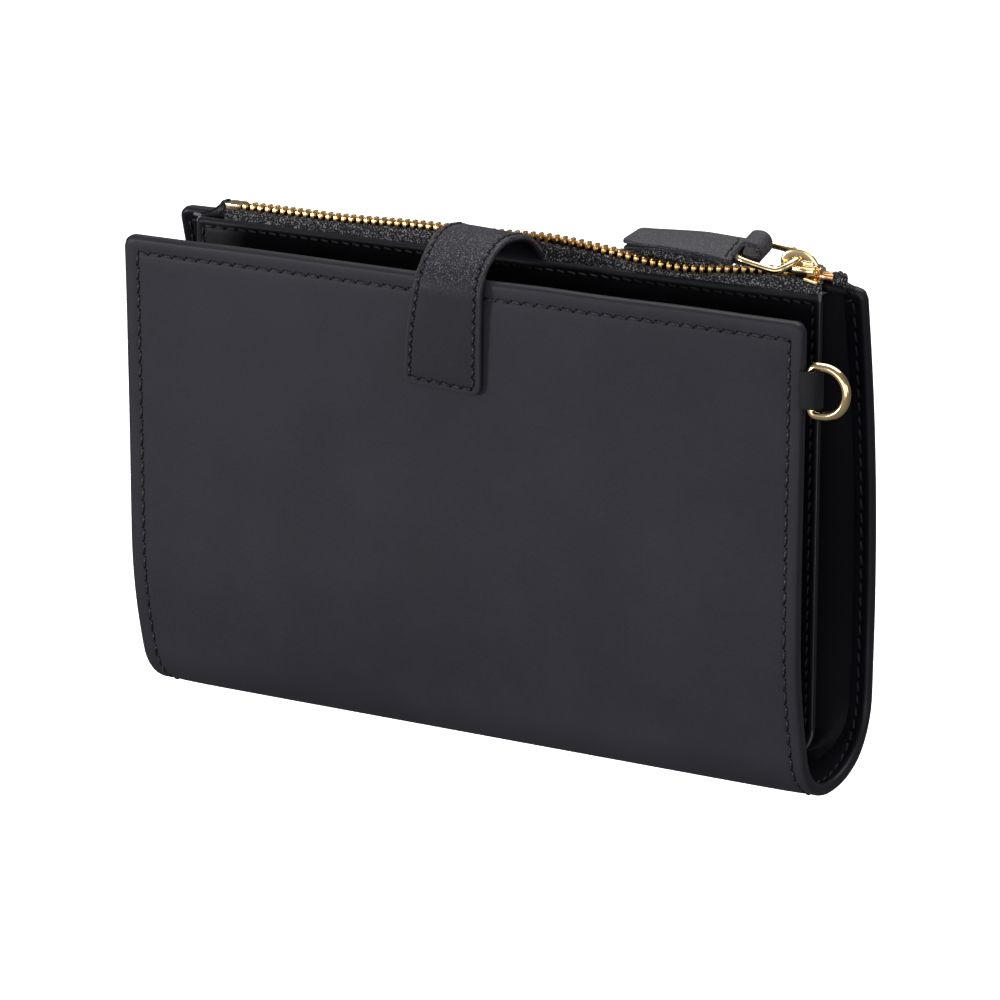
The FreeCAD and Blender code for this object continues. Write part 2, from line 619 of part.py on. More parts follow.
# ---- D-ring ----
def make_dring():
    bar_x = "width / 2 + dring_place"
    bar_y = f"-front_face + {COVER} / 2"
    eye = "(dring_wire / 2 + keeper_play)"
    low = f"{DRING_HEIGHT} - keeper_tall / 2"
    root = box("KeeperRoot", ("width / 2 - keeper_seat", f"{bar_y} - {eye} - keeper_skin", low),
               ("keeper_seat + dring_place", f"2 * ({eye} + keeper_skin)", "keeper_tall"))
    bend = rod("KeeperBend", (bar_x, bar_y, low), f"{eye} + keeper_skin", "keeper_tall")
    hole = rod("KeeperHole", (bar_x, bar_y, low), eye, "keeper_tall")
    keep(combine("Cut", "Keeper", combine("MultiFuse", "KeeperSolid", root, bend), hole), "dring_keeper")
    tall = value("dring_tall / 2")
    bow = value("dring_arm") + tall
    corners = [FreeCAD.Vector(x, y, 0) for x, y in ((0, -tall), (bow, -tall), (bow, tall), (0, tall))]
    radii = [value("dring_corner")] + [tall] * 2 + [value("dring_corner")]
    ring = bent_wire("d_ring", loop_wire(corners, radii), value("dring_wire"))
    upright = FreeCAD.Rotation(FreeCAD.Vector(1, 0, 0), 90)
    ring.Placement = FreeCAD.Placement(
        FreeCAD.Vector(value(bar_x), value(bar_y), value(DRING_HEIGHT)), upright)
    keep(ring, "d_ring")


make_covers()
make_boards()
make_snap_discs()
make_pocket()
make_tapes()
make_teeth()
make_stops()
make_slider()
make_ring()
make_tab()
make_strap()
make_card_slots()
make_dring()
doc.recompute()

for item in doc.Objects:
    if {"Invalid", "Error"} & set(item.State):
        raise RuntimeError(f"{item.Name} did not build: {item.State}")
os.makedirs("parts", exist_ok=True)
for item in nodes:
    shape = item.Shape
    if shape.isNull() or not shape.isValid():
        raise RuntimeError(f"{item.Label} has no valid shape")
    shape.exportStep(f"parts/{item.Label}.step")
    print(f"{item.Label:26s} {len(shape.Solids):3d} solids {shape.Volume:10.1f} mm3")
for name, bend in cover_route.bends.items():
    fold = cover_route.spot(bend, 0.5, 0.0)
    print(f"middle of the {name}: y {fold.y:.3f} z {fold.z:.3f}")
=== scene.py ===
import json
import math

import bmesh
import bpy
from mathutils import Matrix, Vector
from mathutils.noise import noise


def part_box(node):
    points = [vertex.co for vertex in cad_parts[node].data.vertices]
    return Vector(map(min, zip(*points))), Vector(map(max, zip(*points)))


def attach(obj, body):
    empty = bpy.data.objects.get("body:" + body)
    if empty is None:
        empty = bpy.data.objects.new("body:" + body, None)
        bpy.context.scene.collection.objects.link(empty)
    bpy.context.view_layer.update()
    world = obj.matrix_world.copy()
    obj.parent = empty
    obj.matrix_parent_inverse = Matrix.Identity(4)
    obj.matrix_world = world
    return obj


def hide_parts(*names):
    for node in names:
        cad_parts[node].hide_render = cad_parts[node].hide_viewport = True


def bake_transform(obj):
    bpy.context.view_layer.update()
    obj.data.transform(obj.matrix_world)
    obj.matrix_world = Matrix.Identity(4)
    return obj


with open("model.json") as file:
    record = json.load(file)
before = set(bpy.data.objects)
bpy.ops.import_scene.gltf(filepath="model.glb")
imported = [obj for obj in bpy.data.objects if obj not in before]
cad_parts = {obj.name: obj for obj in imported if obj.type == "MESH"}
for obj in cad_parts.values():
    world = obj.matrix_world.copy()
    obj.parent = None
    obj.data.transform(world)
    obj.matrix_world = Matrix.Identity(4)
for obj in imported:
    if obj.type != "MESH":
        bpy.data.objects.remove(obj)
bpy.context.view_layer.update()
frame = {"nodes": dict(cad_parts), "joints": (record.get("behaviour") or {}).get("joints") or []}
print("frame loaded:", len(frame["nodes"]), "nodes")

# Lengths are in millimetres here, and pieces are scaled to metres as they are made.
# X runs along the wallet, Y from the front cover to the rear one, Z up.


def boxOf(node):
    low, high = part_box(node)
    return low * 1000, high * 1000


def jointPlace(name):
    joint = next(item for item in frame["joints"] if item["name"] == name)
    return Vector(joint["pos_m"]) * 1000


# shader maths: a socket that adds, takes away and multiplies
class Value:
    def __init__(self, nodes, socket):
        self.nodes, self.socket = nodes, socket

    def sum(self, operation, *values):
        return self.nodes.node("ShaderNodeMath", {"operation": operation}, dict(enumerate(values)))

    def __add__(self, other):
        return self.sum("ADD", self, other)

    def __radd__(self, other):
        return self.sum("ADD", other, self)

    def __sub__(self, other):
        return self.sum("SUBTRACT", self, other)

    def __rsub__(self, other):
        return self.sum("SUBTRACT", other, self)

    def __mul__(self, other):
        return self.sum("MULTIPLY", self, other)

    def __rmul__(self, other):
        return self.sum("MULTIPLY", other, self)


class Nodes:  # a node tree, and the one way to add a node to it
    def __init__(self, tree):
        self.tree = tree

    def node(self, kind, settings, sockets, out=0):
        made = self.tree.nodes.new(kind)
        for name, setting in settings.items():
            setattr(made, name, setting)
        self.feed(made, sockets)
        return Value(self, made.outputs[out])

    def feed(self, node, sockets):
        for name, value in sockets.items():
            if isinstance(value, Value):
                self.tree.links.new(value.socket, node.inputs[name])
            else:
                node.inputs[name].default_value = value


class Paint(Nodes):
    def __init__(self, name, **constants):
        self.material = bpy.data.materials.new(name)
        self.material.use_nodes = True
        super().__init__(self.material.node_tree)
        self.coat(constants)
        self.place = self.node("ShaderNodeTexCoord", {}, {}, "Object")

    def coat(self, sockets):  # an underscore stands for the space in a socket's name
        spaced = {name.replace("_", " "): value for name, value in sockets.items()}
        self.feed(self.tree.nodes["Principled BSDF"], spaced)

    def noise(self, scale, detail=2.0, rough=0.5):
        sockets = {"Vector": self.place, "Scale": scale, "Detail": detail, "Roughness": rough}
        return self.node("ShaderNodeTexNoise", {}, sockets, "Fac")

    def cells(self, scale, feature):
        sockets = {"Vector": self.place, "Scale": scale}
        return self.node("ShaderNodeTexVoronoi", {"feature": feature}, sockets, "Distance")

    def step(self, value, low, high):
        sockets = {"Value": value, "From Min": low, "From Max": high}
        return self.node("ShaderNodeMapRange", {"interpolation_type": "SMOOTHSTEP"}, sockets)

    def mix(self, factor, first, second):
        return self.node("ShaderNodeMix", {"data_type": "RGBA"}, {0: factor, 6: first, 7: second}, 2)

    def finish(self, colour, roughness, height=None, strength=0.5, reach=0.0001, **others):
        if height is not None:
            sockets = {"Strength": strength, "Distance": reach, "Height": height}
            others["Normal"] = self.node("ShaderNodeBump", {}, sockets)
        self.coat({"Base_Color": colour, "Roughness": roughness, **others})
        return self.material


# finishes
leatherLook = {"dark": (0.0270, 0.0258, 0.0335, 1), "light": (0.0345, 0.0330, 0.0422, 1),
               "paint": (0.0260, 0.0250, 0.0315, 1),  # the colour of its cut edges
               "grain": 1500, "rough": 0.56, "gloss": 0.09, "creases": 0.3, "paintedGlints": 0.0}
# the strap's edge colour is real edge paint, made lighter than its face as a painted highlight along its edges
strapLook = {**leatherLook, "dark": (0.0230, 0.0221, 0.0278, 1), "light": (0.0300, 0.0288, 0.0362, 1),
             "paint": (0.041, 0.0395, 0.048, 1), "grain": 1300, "creases": 0.05,
             "paintedGlints": 0.9, "paintedGlintHeights": (0.1135, 0.1205)}  # heights in metres between which the painted glints show
# the pull's leather: a lighter copy of the strap leather, painted light on its top; its darker edge colour is painted
# shade on its sides, and it carries painted glints
litTabLook = {**strapLook, "dark": (0.048, 0.0465, 0.0525, 1), "light": (0.068, 0.066, 0.074, 1),
           "paint": (0.0180, 0.0170, 0.0220, 1), "paintedGlints": 0.5}
# the keeper's leather: a darker copy of the strap leather as painted shade, with near-black edges as a painted shadow
# gap
shadedKeeperLook = {**strapLook, "dark": (0.0125, 0.0118, 0.0150, 1), "light": (0.0180, 0.0171, 0.0215, 1),
              "paint": (0.0050, 0.0046, 0.0062, 1), "paintedGlints": 0.0}
# the lining: its own dark leather, darkened further as painted shade for the insides; its lighter edge colour is a
# painted highlight line
shadedLiningLook = {**leatherLook, "dark": (0.0034, 0.0030, 0.0050, 1), "light": (0.0066, 0.0058, 0.0090, 1),
             "paint": (0.0190, 0.0178, 0.0232, 1), "creases": 0.15, "gloss": 0.08, "rough": 0.46}
# a light, glossy leather for thin rims: painted highlight along the gussets' edges
highlightRimLook = {**shadedLiningLook, "dark": (0.12, 0.115, 0.13, 1), "light": (0.19, 0.18, 0.20, 1),
                 "gloss": 0.5, "rough": 0.3}


def leatherPaint(name, look, grain=1.0):
    paint = Paint(name, Specular_IOR_Level=look["gloss"], Coat_Roughness=0.3)
    pebble = paint.cells(look["grain"], "SMOOTH_F1")
    pores = paint.noise(look["grain"] * 2.6, 2.0, 0.6)
    creases = paint.cells(look["grain"] * 0.42, "DISTANCE_TO_EDGE")
    clouds = paint.noise(30, 3.0, 0.55)
    edge = paint.node("ShaderNodeAttribute", {"attribute_name": "edge"}, {}, "Fac")
    relief = pebble * 0.6 + pores * 0.5 + paint.step(creases, 0.0, 0.08) * look["creases"]
    tone = paint.step(clouds + pores * 0.25 - pebble * 0.2, 0.3, 0.8)
    colour = paint.mix(edge, paint.mix(tone, look["dark"], look["light"]), look["paint"])
    roughness = (look["rough"] + clouds * 0.1 - pores * 0.08) * (1 - edge * 0.15)
    if look["paintedGlints"]:  # painted glints: light specks mixed into the colour where the leather bends, with raised, smoother grain there
        paintedGlints = paint.step(paint.noise(2600, 2.0, 0.7), 0.55, 0.61) * look["paintedGlints"]
        height = paint.node("ShaderNodeSeparateXYZ", {}, {0: paint.place}, "Z")
        paintedGlints = paintedGlints * paint.step(height, *look["paintedGlintHeights"])
        colour = paint.mix(paintedGlints, colour, (0.17, 0.16, 0.18, 1))
        relief, roughness = relief + paintedGlints * 0.8, roughness - paintedGlints * 0.15
    return paint.finish(colour, roughness, relief * (1 - edge * 0.75), 0.32 * grain, 0.00018,
                        Coat_Weight=0.03 + edge * 0.15)


leather = leatherPaint("darkLeather", leatherLook)
strapLeather = leatherPaint("strapLeather", strapLook, 1.3)
# the pull's leather is painted lighter, as light falling on its top
litTabLeather = leatherPaint("litTabLeather", litTabLook, 1.3)
shadedKeeperLeather = leatherPaint("shadedKeeperLeather", shadedKeeperLook, 1.3)
# lining leather darkened as painted shade, with painted highlight on its edges
liningLeather = leatherPaint("liningLeather", shadedLiningLook, 0.7)
highlightRimPaint = leatherPaint("paintedHighlightRim", highlightRimLook, 0.4)


def threadPaint(name, light):
    paint = Paint(name, Specular_IOR_Level=0.4)
    fibre = paint.noise(9000, 2.0)
    # painted glints: light specks in the thread's colour, as bright as the given light
    paintedGlint = paint.step(paint.noise(2500, 2.0, 0.6), 0.52, 0.6)
    colour = paint.mix(paintedGlint * (0.6 + fibre * 0.4), (0.0022, 0.002, 0.0035, 1), (light, light * 0.97, light * 1.08, 1))
    return paint.finish(colour, 0.35 + fibre * 0.2, fibre, 0.5, 0.00005)


def goldPaint(name, colour, rough):
    paint = Paint(name, Metallic=1.0)
    wear = paint.noise(220, 4.0, 0.6)
    scratches = paint.noise(3200, 2.0)
    warm = tuple(part * 0.86 for part in colour[:3]) + (1,)
    return paint.finish(paint.mix(paint.step(wear, 0.35, 0.7), colour, warm),
                        rough + wear * 0.06 + scratches * 0.04, scratches, 0.06, 0.00003)


def tapePaint():
    paint = Paint("zipTape", Specular_IOR_Level=0.25)
    yarn = paint.cells(1150, "F1")
    knit = paint.cells(1150, "DISTANCE_TO_EDGE")
    fibre = paint.noise(7000, 2.0)
    # painted glints: bright specks mixed into the tape's colour
    paintedGlint = paint.step(paint.noise(2500, 2.0, 0.6) + fibre * 0.3, 0.715, 0.785)
    colour = paint.mix(paint.step(knit, 0.02, 0.3), (0.002, 0.002, 0.003, 1), (0.020, 0.020, 0.024, 1))
    colour = paint.mix(paintedGlint * 0.9, colour, (0.34, 0.34, 0.36, 1))
    return paint.finish(colour, 0.55 + fibre * 0.25, fibre * 0.35 - yarn, 0.7, 0.0003)


def speckledPaint(name, texture, dark, light, rough, uneven=0.0, bump=0.0, **constants):
    paint = Paint(name, **constants)
    speckle = paint.noise(*texture)
    roughness = rough + speckle * uneven if uneven else rough
    return paint.finish(paint.mix(speckle, dark, light), roughness, speckle if bump else None, bump)


# the inside seams' thread has dimmer painted glints: painted shade on the insides
thread, shadedThread = threadPaint("darkThread", 0.065), threadPaint("shadedThread", 0.018)
# near-black discs: painted shade of the needle holes
needleHoleShade = speckledPaint("needleHoleShade", (3000, 1.0), (0.0015, 0.0015, 0.002, 1), (0.003, 0.003, 0.004, 1), 0.8,
                           Specular_IOR_Level=0.1)
gold = goldPaint("paleGold", (1.0, 0.76, 0.42, 1), 0.1)
toothGold = goldPaint("toothGold", (0.95, 0.65, 0.29, 1), 0.14)
copper = goldPaint("copperStop", (0.62, 0.33, 0.16, 1), 0.22)
tapeCloth = tapePaint()
board = speckledPaint("fibreBoard", (900, 4.0, 0.6), (0.16, 0.13, 0.10, 1), (0.30, 0.26, 0.20, 1), 0.85, bump=0.3)
nickel = speckledPaint("nickelPlate", (2400, 3.0), (0.52, 0.50, 0.47, 1), (0.62, 0.60, 0.57, 1), 0.25, 0.15, 0.1,
                       Metallic=1.0)
print("materials made")


# mesh tools
def addPiece(name, points, faces, material, marks=None, crease=42):
    mesh = bpy.data.meshes.new(name)
    mesh.from_pydata([Vector(point) / 1000 for point in points], [], faces)
    if marks:
        mesh.attributes.new("edge", "FLOAT", "POINT").data.foreach_set("value", marks)
    work = bmesh.new()
    work.from_mesh(mesh)
    bmesh.ops.remove_doubles(work, verts=work.verts, dist=2e-7)
    bmesh.ops.recalc_face_normals(work, faces=work.faces)
    for face in work.faces:
        face.smooth = True
    for edge in work.edges:
        edge.smooth = len(edge.link_faces) == 2 and edge.calc_face_angle() < math.radians(crease)
    work.to_mesh(mesh)
    work.free()
    mesh.materials.append(material)
    piece = bpy.data.objects.new(name, mesh)
    bpy.context.scene.collection.objects.link(piece)
    return piece


def addShell(name, near, far, wide, material, marks=None, crease=42):  # two grids of points, joined round their rims
    size, tall, faces = len(near), len(near) // wide, []
    for j in range(tall - 1):
        for i in range(wide - 1):
            a = j * wide + i
            faces += [(a, a + 1, a + wide + 1, a + wide),
                      tuple(size + b for b in (a, a + wide, a + wide + 1, a + 1))]
    rim = list(range(wide)) + [j * wide + wide - 1 for j in range(1, tall)]
    rim += [(tall - 1) * wide + i for i in range(wide - 2, -1, -1)] + [j * wide for j in range(tall - 2, 0, -1)]
    faces += [(a, b, b + size, a + size) for a, b in zip(rim, rim[1:] + rim[:1])]
    return addPiece(name, near + far, faces, material, marks, crease)


def addRings(points, faces, rings, closed=False):  # a tube through rings of points, capped or closed on itself
    base, count, sides = len(points), len(rings), len(rings[0])
    for ring in rings:
        points += ring
    for ring in range(count if closed else count - 1):
        a, b = base + ring * sides, base + (ring + 1) % count * sides
        faces += [(a + turn, a + (turn + 1) % sides, b + (turn + 1) % sides, b + turn) for turn in range(sides)]
    if not closed:
        faces += [tuple(range(base, base + sides)), tuple(reversed(range(len(points) - sides, len(points))))]
    return points, faces


class Line:  # a line in the YZ plane with round corners
    def __init__(self, corners, radii):
        self.runs, self.length = [], 0.0  # start, its distance, heading and curvature
        here = Vector(corners[0])
        for before, corner, after, radius in zip(corners, corners[1:], corners[2:], radii):
            into, out = ((Vector(b) - Vector(a)).normalized() for a, b in ((before, corner), (corner, after)))
            turn = math.atan2(into.x * out.y - into.y * out.x, into.dot(out))
            reach = radius * math.tan(abs(turn) / 2)
            heading = math.atan2(into.y, into.x)
            self.add(here, (Vector(corner) - into * reach - here).length, heading, 0.0)
            self.add(Vector(corner) - into * reach, radius * abs(turn), heading, turn / (radius * abs(turn)))
            here = Vector(corner) + out * reach
        way = Vector(corners[-1]) - here
        self.add(here, way.length, math.atan2(way.y, way.x), 0.0)

    def add(self, start, length, heading, curve):
        self.runs.append((start, self.length, heading, curve))
        self.length += length

    def at(self, distance, depth=0.0):  # depth is to the left of the way along it
        start, begun, heading, curve = [run for run in self.runs if run[1] <= max(distance, 0.0)][-1]
        along = distance - begun
        angle = heading + curve * along
        if curve:
            y = start.x + (math.sin(angle) - math.sin(heading)) / curve
            z = start.y - (math.cos(angle) - math.cos(heading)) / curve
        else:
            y, z = start.x + along * math.cos(heading), start.y + along * math.sin(heading)
        return y - depth * math.sin(angle), z + depth * math.cos(angle)

    def nearest(self, y, z):  # the distance along it of the spot nearest to a point
        steps = [self.length * i / 800 for i in range(801)]
        return min(steps, key=lambda s: math.dist(self.at(s), (y, z)))


def rollOff(distance, radius):
    short = max(radius - distance, 0.0)
    return radius - math.sqrt(max(radius ** 2 - short ** 2, 0.0))


def spread(start, stop, rolled, radius, groove, step):  # grid lines, close together at rolled ends
    fine = [radius * (1 - math.cos(math.radians(angle))) for angle in (0, 22, 42, 62, 90)]
    fine += [groove + offset for offset in (-1.3, -0.7, -0.3, 0, 0.3, 0.7, 1.3, 3)] if groove else []
    fine = sorted(fine)
    head = [start + part for part in fine] if rolled[0] else [start]
    tail = [stop - part for part in reversed(fine)] if rolled[1] else [stop]
    count = max(1, math.ceil((tail[0] - head[-1]) / step))
    middle = [head[-1] + (tail[0] - head[-1]) * i / count for i in range(1, count)]
    return head + middle + tail


class Hide:  # a piece of leather bent along a line
    plain = {"rolled": (True, True), "roundNear": 0.0, "roundFar": 0.0, "corners": (0, 0), "groove": 0.0, "dent": 0.0,
             "puff": 0.0, "waist": None, "drift": None, "step": 3.0, "seat": None}

    def __init__(self, line, sides, span, deep, **how):
        self.line, self.sides, self.span, self.deep = line, sides, span, deep
        vars(self).update(self.plain | how)

    def fit(self, x, s):  # where a spot goes once the corners are round
        left, right, head, tail = x - self.sides[0], self.sides[1] - x, s - self.span[0], self.span[1] - s
        side, end = min(left, right), min(head if self.rolled[0] else 1e3, tail if self.rolled[1] else 1e3)
        radius = self.corners[0] if head < tail else self.corners[1]
        shortSide, shortEnd = radius - side, radius - end
        if shortSide > 0 and shortEnd > 0:
            scale = 1 - max(shortSide, shortEnd) / math.hypot(shortSide, shortEnd)
            x += shortSide * scale * (1 if left < right else -1)
            s += shortEnd * scale * (1 if head < tail else -1)
        return x, s, min(side, end)

    def spot(self, x, s, face):
        x, s, inset = self.fit(x, s)
        soft = self.puff * (1 - math.exp(-max(inset - self.groove, 0) / 5)) if self.puff else 0.0
        seam = self.dent * math.exp(-((inset - self.groove) / 0.7) ** 2) if self.dent else 0.0
        if face == "near":
            depth = self.deep[0] + rollOff(inset, self.roundNear) + seam - soft
        else:
            depth = self.deep[1] - rollOff(inset, self.roundFar) - seam + soft
        y, z = self.line.at(s, depth)
        if self.waist:
            middle = (self.sides[0] + self.sides[1]) / 2
            x = middle + (x - middle) * (1 - self.waist(z) / (self.sides[1] - middle))
        point = Vector((x, y, z))
        if self.drift:
            point += self.drift(x, s, point)
        return self.seat @ point if self.seat else point

    def build(self, name, material):
        radius = max(self.roundNear, self.roundFar, 0.2)
        xs = spread(*self.sides, (True, True), radius, self.groove, self.step)
        ss = spread(*self.span, self.rolled, radius, self.groove, min(self.step, 2.2))
        near, far = ([self.spot(x, s, face) for s in ss for x in xs] for face in ("near", "far"))
        marks = [max(0.0, min(1.0, (radius * 1.1 - self.fit(x, s)[2]) / (radius * 0.5)))
                 for s in ss for x in xs] * 2
        return addShell(name, near, far, len(xs), material, marks)

    def normal(self, x, s, face):
        here = self.spot(x, s, face)
        across, along = self.spot(x + 0.1, s, face) - here, self.spot(x, s + 0.1, face) - here
        way = across.cross(along).normalized()
        outward = here - self.spot(x, s, "far" if face == "near" else "near")
        return way if way.dot(outward) > 0 else -way


stitchShape = {"pitch": 3.5, "long": 2.7, "thick": 0.32, "thin": 0.55, "arch": 0.3, "sunk": 0.16,
               "slant": 0.2, "hole": (0.42, 0.36, 0.19)}


def sew(name, hide, face, legs, shape=stitchShape, yarn=thread):  # laid stitch by stitch along legs of (x, s)
    points, faces = [], []
    for (x0, s0), (x1, s1) in legs:
        length = math.hypot(x1 - x0, s1 - s0)
        count = max(1, round(length / shape["pitch"]))
        ax, ay = (x1 - x0) / length, (s1 - s0) / length
        for stitch in range(count):
            middle = (stitch + 0.5) * length / count
            addStitch(points, faces, hide, face, (x0 + ax * middle, s0 + ay * middle), (ax, ay), shape)
    piece = addPiece(name, points, faces, yarn, crease=80)
    piece.data.materials.append(needleHoleShade)
    for face in piece.data.polygons:
        face.material_index = 1 if len(face.vertices) == 8 else 0
    return piece


def addStitch(points, faces, hide, face, middle, way, shape):
    spine, normals, rings = [], [], []
    for part in (-1, -0.82, -0.4, 0, 0.4, 0.82, 1):
        reach, side = part * shape["long"] / 2, part * shape["slant"]
        x, s = middle[0] + way[0] * reach - way[1] * side, middle[1] + way[1] * reach + way[0] * side
        normals.append(hide.normal(x, s, face))
        lift = shape["arch"] * (1 - abs(part) ** 4) - shape["sunk"]
        spine.append(hide.spot(x, s, face) + normals[-1] * lift)
    last = len(spine) - 1
    for index, (here, normal) in enumerate(zip(spine, normals)):
        ahead = (spine[min(index + 1, last)] - spine[max(index - 1, 0)]).normalized()
        across = ahead.cross(normal).normalized()
        thick = shape["thick"] * (shape["thin"] if index in (0, last) else 1.0)
        rings.append([here + (across * math.cos(angle) + normal * math.sin(angle)) * thick for angle in turns(6)])
    addRings(points, faces, rings)
    ahead, (long, wide, high) = (spine[last] - spine[0]).normalized(), shape["hole"]
    for index in (0, last):  # a near-black disc under each end: painted shade of the needle's hole
        across = ahead.cross(normals[index]).normalized()
        middle = spine[index] + normals[index] * high
        points += [middle + ahead * (long * math.cos(angle)) + across * (wide * math.sin(angle)) for angle in turns(8)]
        faces.append(tuple(range(len(points) - 8, len(points))))


def turns(count):
    return [2 * math.pi * turn / count for turn in range(count)]


# covers
outerLow, outerHigh = boxOf("front_cover_leather")
rearTop = boxOf("rear_cover_leather")[1].z

coverShape = {
    "knee": (30.0, 110.0),  # height and radius where the front cover bends under
    "toeTuck": 7.2, "toeRadius": 15.0,
    "heel": 20.5, "heelRadius": 20.5,
    "belly": (23.3, 75.0, 340.0),  # depth and height of the rear face's bend, and its radius
    "rearDepth": 13.65,  # depth of the rear face at its top
    "thick": 3.0, "round": 1.15, "corner": 3.0, "spare": 0.35, "waist": 0.3,
    "seam": 4.2, "liningSeam": 3.0, "dent": 0.16, "puff": 0.25,
    "trim": (1.15, 87.5, 93.7),  # how much shorter the front cover is at its right end, and from where to where
    "lean": (-1.5, -2.5), "rise": (0.8, 1.0),
    "boardDepths": (1.3, 1.7),
}
coverLine = Line(
    [(outerLow.y, outerHigh.z), (outerLow.y, coverShape["knee"][0]),
     (outerLow.y + coverShape["toeTuck"], 0.0), (coverShape["heel"], 0.0), coverShape["belly"][:2],
     (coverShape["rearDepth"], rearTop)],
    [coverShape["knee"][1], coverShape["toeRadius"], coverShape["heelRadius"], coverShape["belly"][2]])
coverMiddle = coverLine.nearest(4.0, 0.0)  # the seam on the flat bottom
coverSides = (outerLow.x - coverShape["spare"], outerHigh.x + coverShape["spare"])


def coverWaist(z):
    return coverShape["waist"] * math.sin(math.pi * min(max(z / rearTop, 0), 1))


def ease(value, start, stop):
    share = min(max((value - start) / (stop - start), 0.0), 1.0)
    return share * share * (3 - 2 * share)


def rearLean(x, z):  # how far the rear cover's left top corner gives way
    return ease(x, -70, -93) * ease(z, 55, 120)


def coverDrift(x, s, point):  # the covers' slight unevenness
    swell = noise(Vector((x / 55, s / 48, 2.3))) * 0.3 + noise(Vector((x / 17, s / 15, 7.1))) * 0.05
    end = min(s, coverLine.length - s)
    rise = noise(Vector((x / 30, 4.4, 0))) * 0.35 * math.exp(-end / 15)
    side = (1 if s < coverMiddle else -1) if end < 105 else 0
    drift = Vector((0, side * swell * min(1.0, end / 12), rise))
    trim, first, last = coverShape["trim"]
    drift.x -= trim * ease(x, first, last) * ease(s, coverMiddle + 14, coverMiddle - 8)
    if s > coverMiddle:
        lean, rise = rearLean(x, point.z), coverShape["rise"]
        drift += Vector((coverShape["lean"][0] * lean, coverShape["lean"][1] * lean, 0))
        drift.z += (rise[0] * ease(x, -40, -93) + rise[1] * ease(x, 40, 93)) * ease(point.z, 95, 120)
    return drift


def settle(piece, body, slot, *nodes):  # on a body; given two bodies, it is left in place on neither
    if isinstance(body, tuple):
        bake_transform(piece)
    else:
        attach(piece, body)
    if nodes:
        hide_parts(*nodes)
    return piece


toeBend = ("spine", "front_cover", (0, -0.004, 0), (0, -0.0175, 0.010))
heelBend = ("spine", "rear_cover", (0, 0.008, 0), (0, 0.0225, 0.013))


def makeCover(name, span, bend, *parts):
    shape, half, front = coverShape, coverShape["thick"] / 2, name == "front"
    shared = {"rolled": (front, not front), "corners": (shape["corner"],) * 2, "dent": shape["dent"],
              "waist": coverWaist, "drift": coverDrift}
    outer = Hide(coverLine, coverSides, span, (0.0, half), roundNear=shape["round"], puff=shape["puff"],
                 groove=shape["seam"], **shared)
    inner = Hide(coverLine, coverSides, span, (half, shape["thick"]), roundFar=shape["round"],
                 groove=shape["liningSeam"], **shared)
    skins = ((outer, "near", "Leather", "Stitches", leather, thread, "leather"),
             (inner, "far", "Lining", "LiningStitches", liningLeather, shadedThread, "lining_leather"))
    for hide, face, label, seam, material, yarn, slot in skins:
        skin = hide.build(f"{name}Cover{label}", material)
        settle(skin, bend, slot, *[f"{part}_{label.lower()}" for part in parts])
    for hide, face, label, seam, material, yarn, slot in skins:
        x0, x1 = coverSides[0] + hide.groove, coverSides[1] - hide.groove
        top = hide.groove if front else coverLine.length - hide.groove
        legs = [((x0, coverMiddle), (x0, top)), ((x0, top), (x1, top)), ((x1, top), (x1, coverMiddle))]
        settle(sew(f"{name}Cover{seam}", hide, face, legs, yarn=yarn), bend, slot)


makeCover("front", (0.0, coverMiddle), toeBend, "front_cover")
makeCover("rear", (coverMiddle, coverLine.length), heelBend, "rear_cover", "spine")


def makeBoard():  # the rear cover's board follows its leather
    low, high = boxOf("rear_cover_stiffener")
    span = (coverLine.nearest(high.y + 1, low.z), coverLine.length - rearTop + high.z)
    piece = Hide(coverLine, (low.x, high.x), span, coverShape["boardDepths"], rolled=(False, False),
                 waist=coverWaist, drift=coverDrift, step=6)
    settle(piece.build("rearBoard", board), "rear_cover", "board", "rear_cover_stiffener")


makeBoard()
print("covers made")


def sheetOf(name, surface, us, vs, thick, material, crease=42):  # a thin skin over a surface of (u, v)
    grid = [[surface(u, v) for u in us] for v in vs]
    wide, tall = len(us), len(vs)
    points, backs = [], []
    for j in range(tall):
        for i in range(wide):
            across = grid[j][min(i + 1, wide - 1)] - grid[j][max(i - 1, 0)]
            along = grid[min(j + 1, tall - 1)][i] - grid[max(j - 1, 0)][i]
            points.append(grid[j][i])
            backs.append(grid[j][i] + across.cross(along).normalized() * thick)
    return addShell(name, points, backs, wide, material, crease=crease)


def shares(count):
    return [i / count for i in range(count + 1)]


# swept shapes for the zip, its pull and the rings
xAxis, yAxis, zAxis = Vector((1, 0, 0)), Vector((0, 1, 0)), Vector((0, 0, 1))


def ringOf(station, sides):
    centre, across, up, wide, tall, square = station  # the last three: half width, half height, squareness
    ring = []
    for turn in range(sides):
        angle = 2 * math.pi * (turn + 0.5) / sides
        x, y = (math.copysign(abs(part) ** (2 / square), part) for part in (math.cos(angle), math.sin(angle)))
        ring.append(Vector(centre) + Vector(across) * (x * wide) + Vector(up) * (y * tall))
    return ring


def addLoft(points, faces, stations, sides=20, closed=False):
    return addRings(points, faces, [ringOf(station, sides) for station in stations], closed)


def addBar(points, faces, place, profile, square, sides=16, tilt=0.0):  # along X, by (x, half width, half height)
    stations = [(Vector(place) + Vector((x, 0, -x * tilt)), yAxis, zAxis, wide, tall, square)
                for x, wide, tall in profile]
    return addLoft(points, faces, stations, sides)


def loft(name, stations, material, sides=20, closed=False, crease=42):
    return addPiece(name, *addLoft([], [], stations, sides, closed), material, crease=crease)


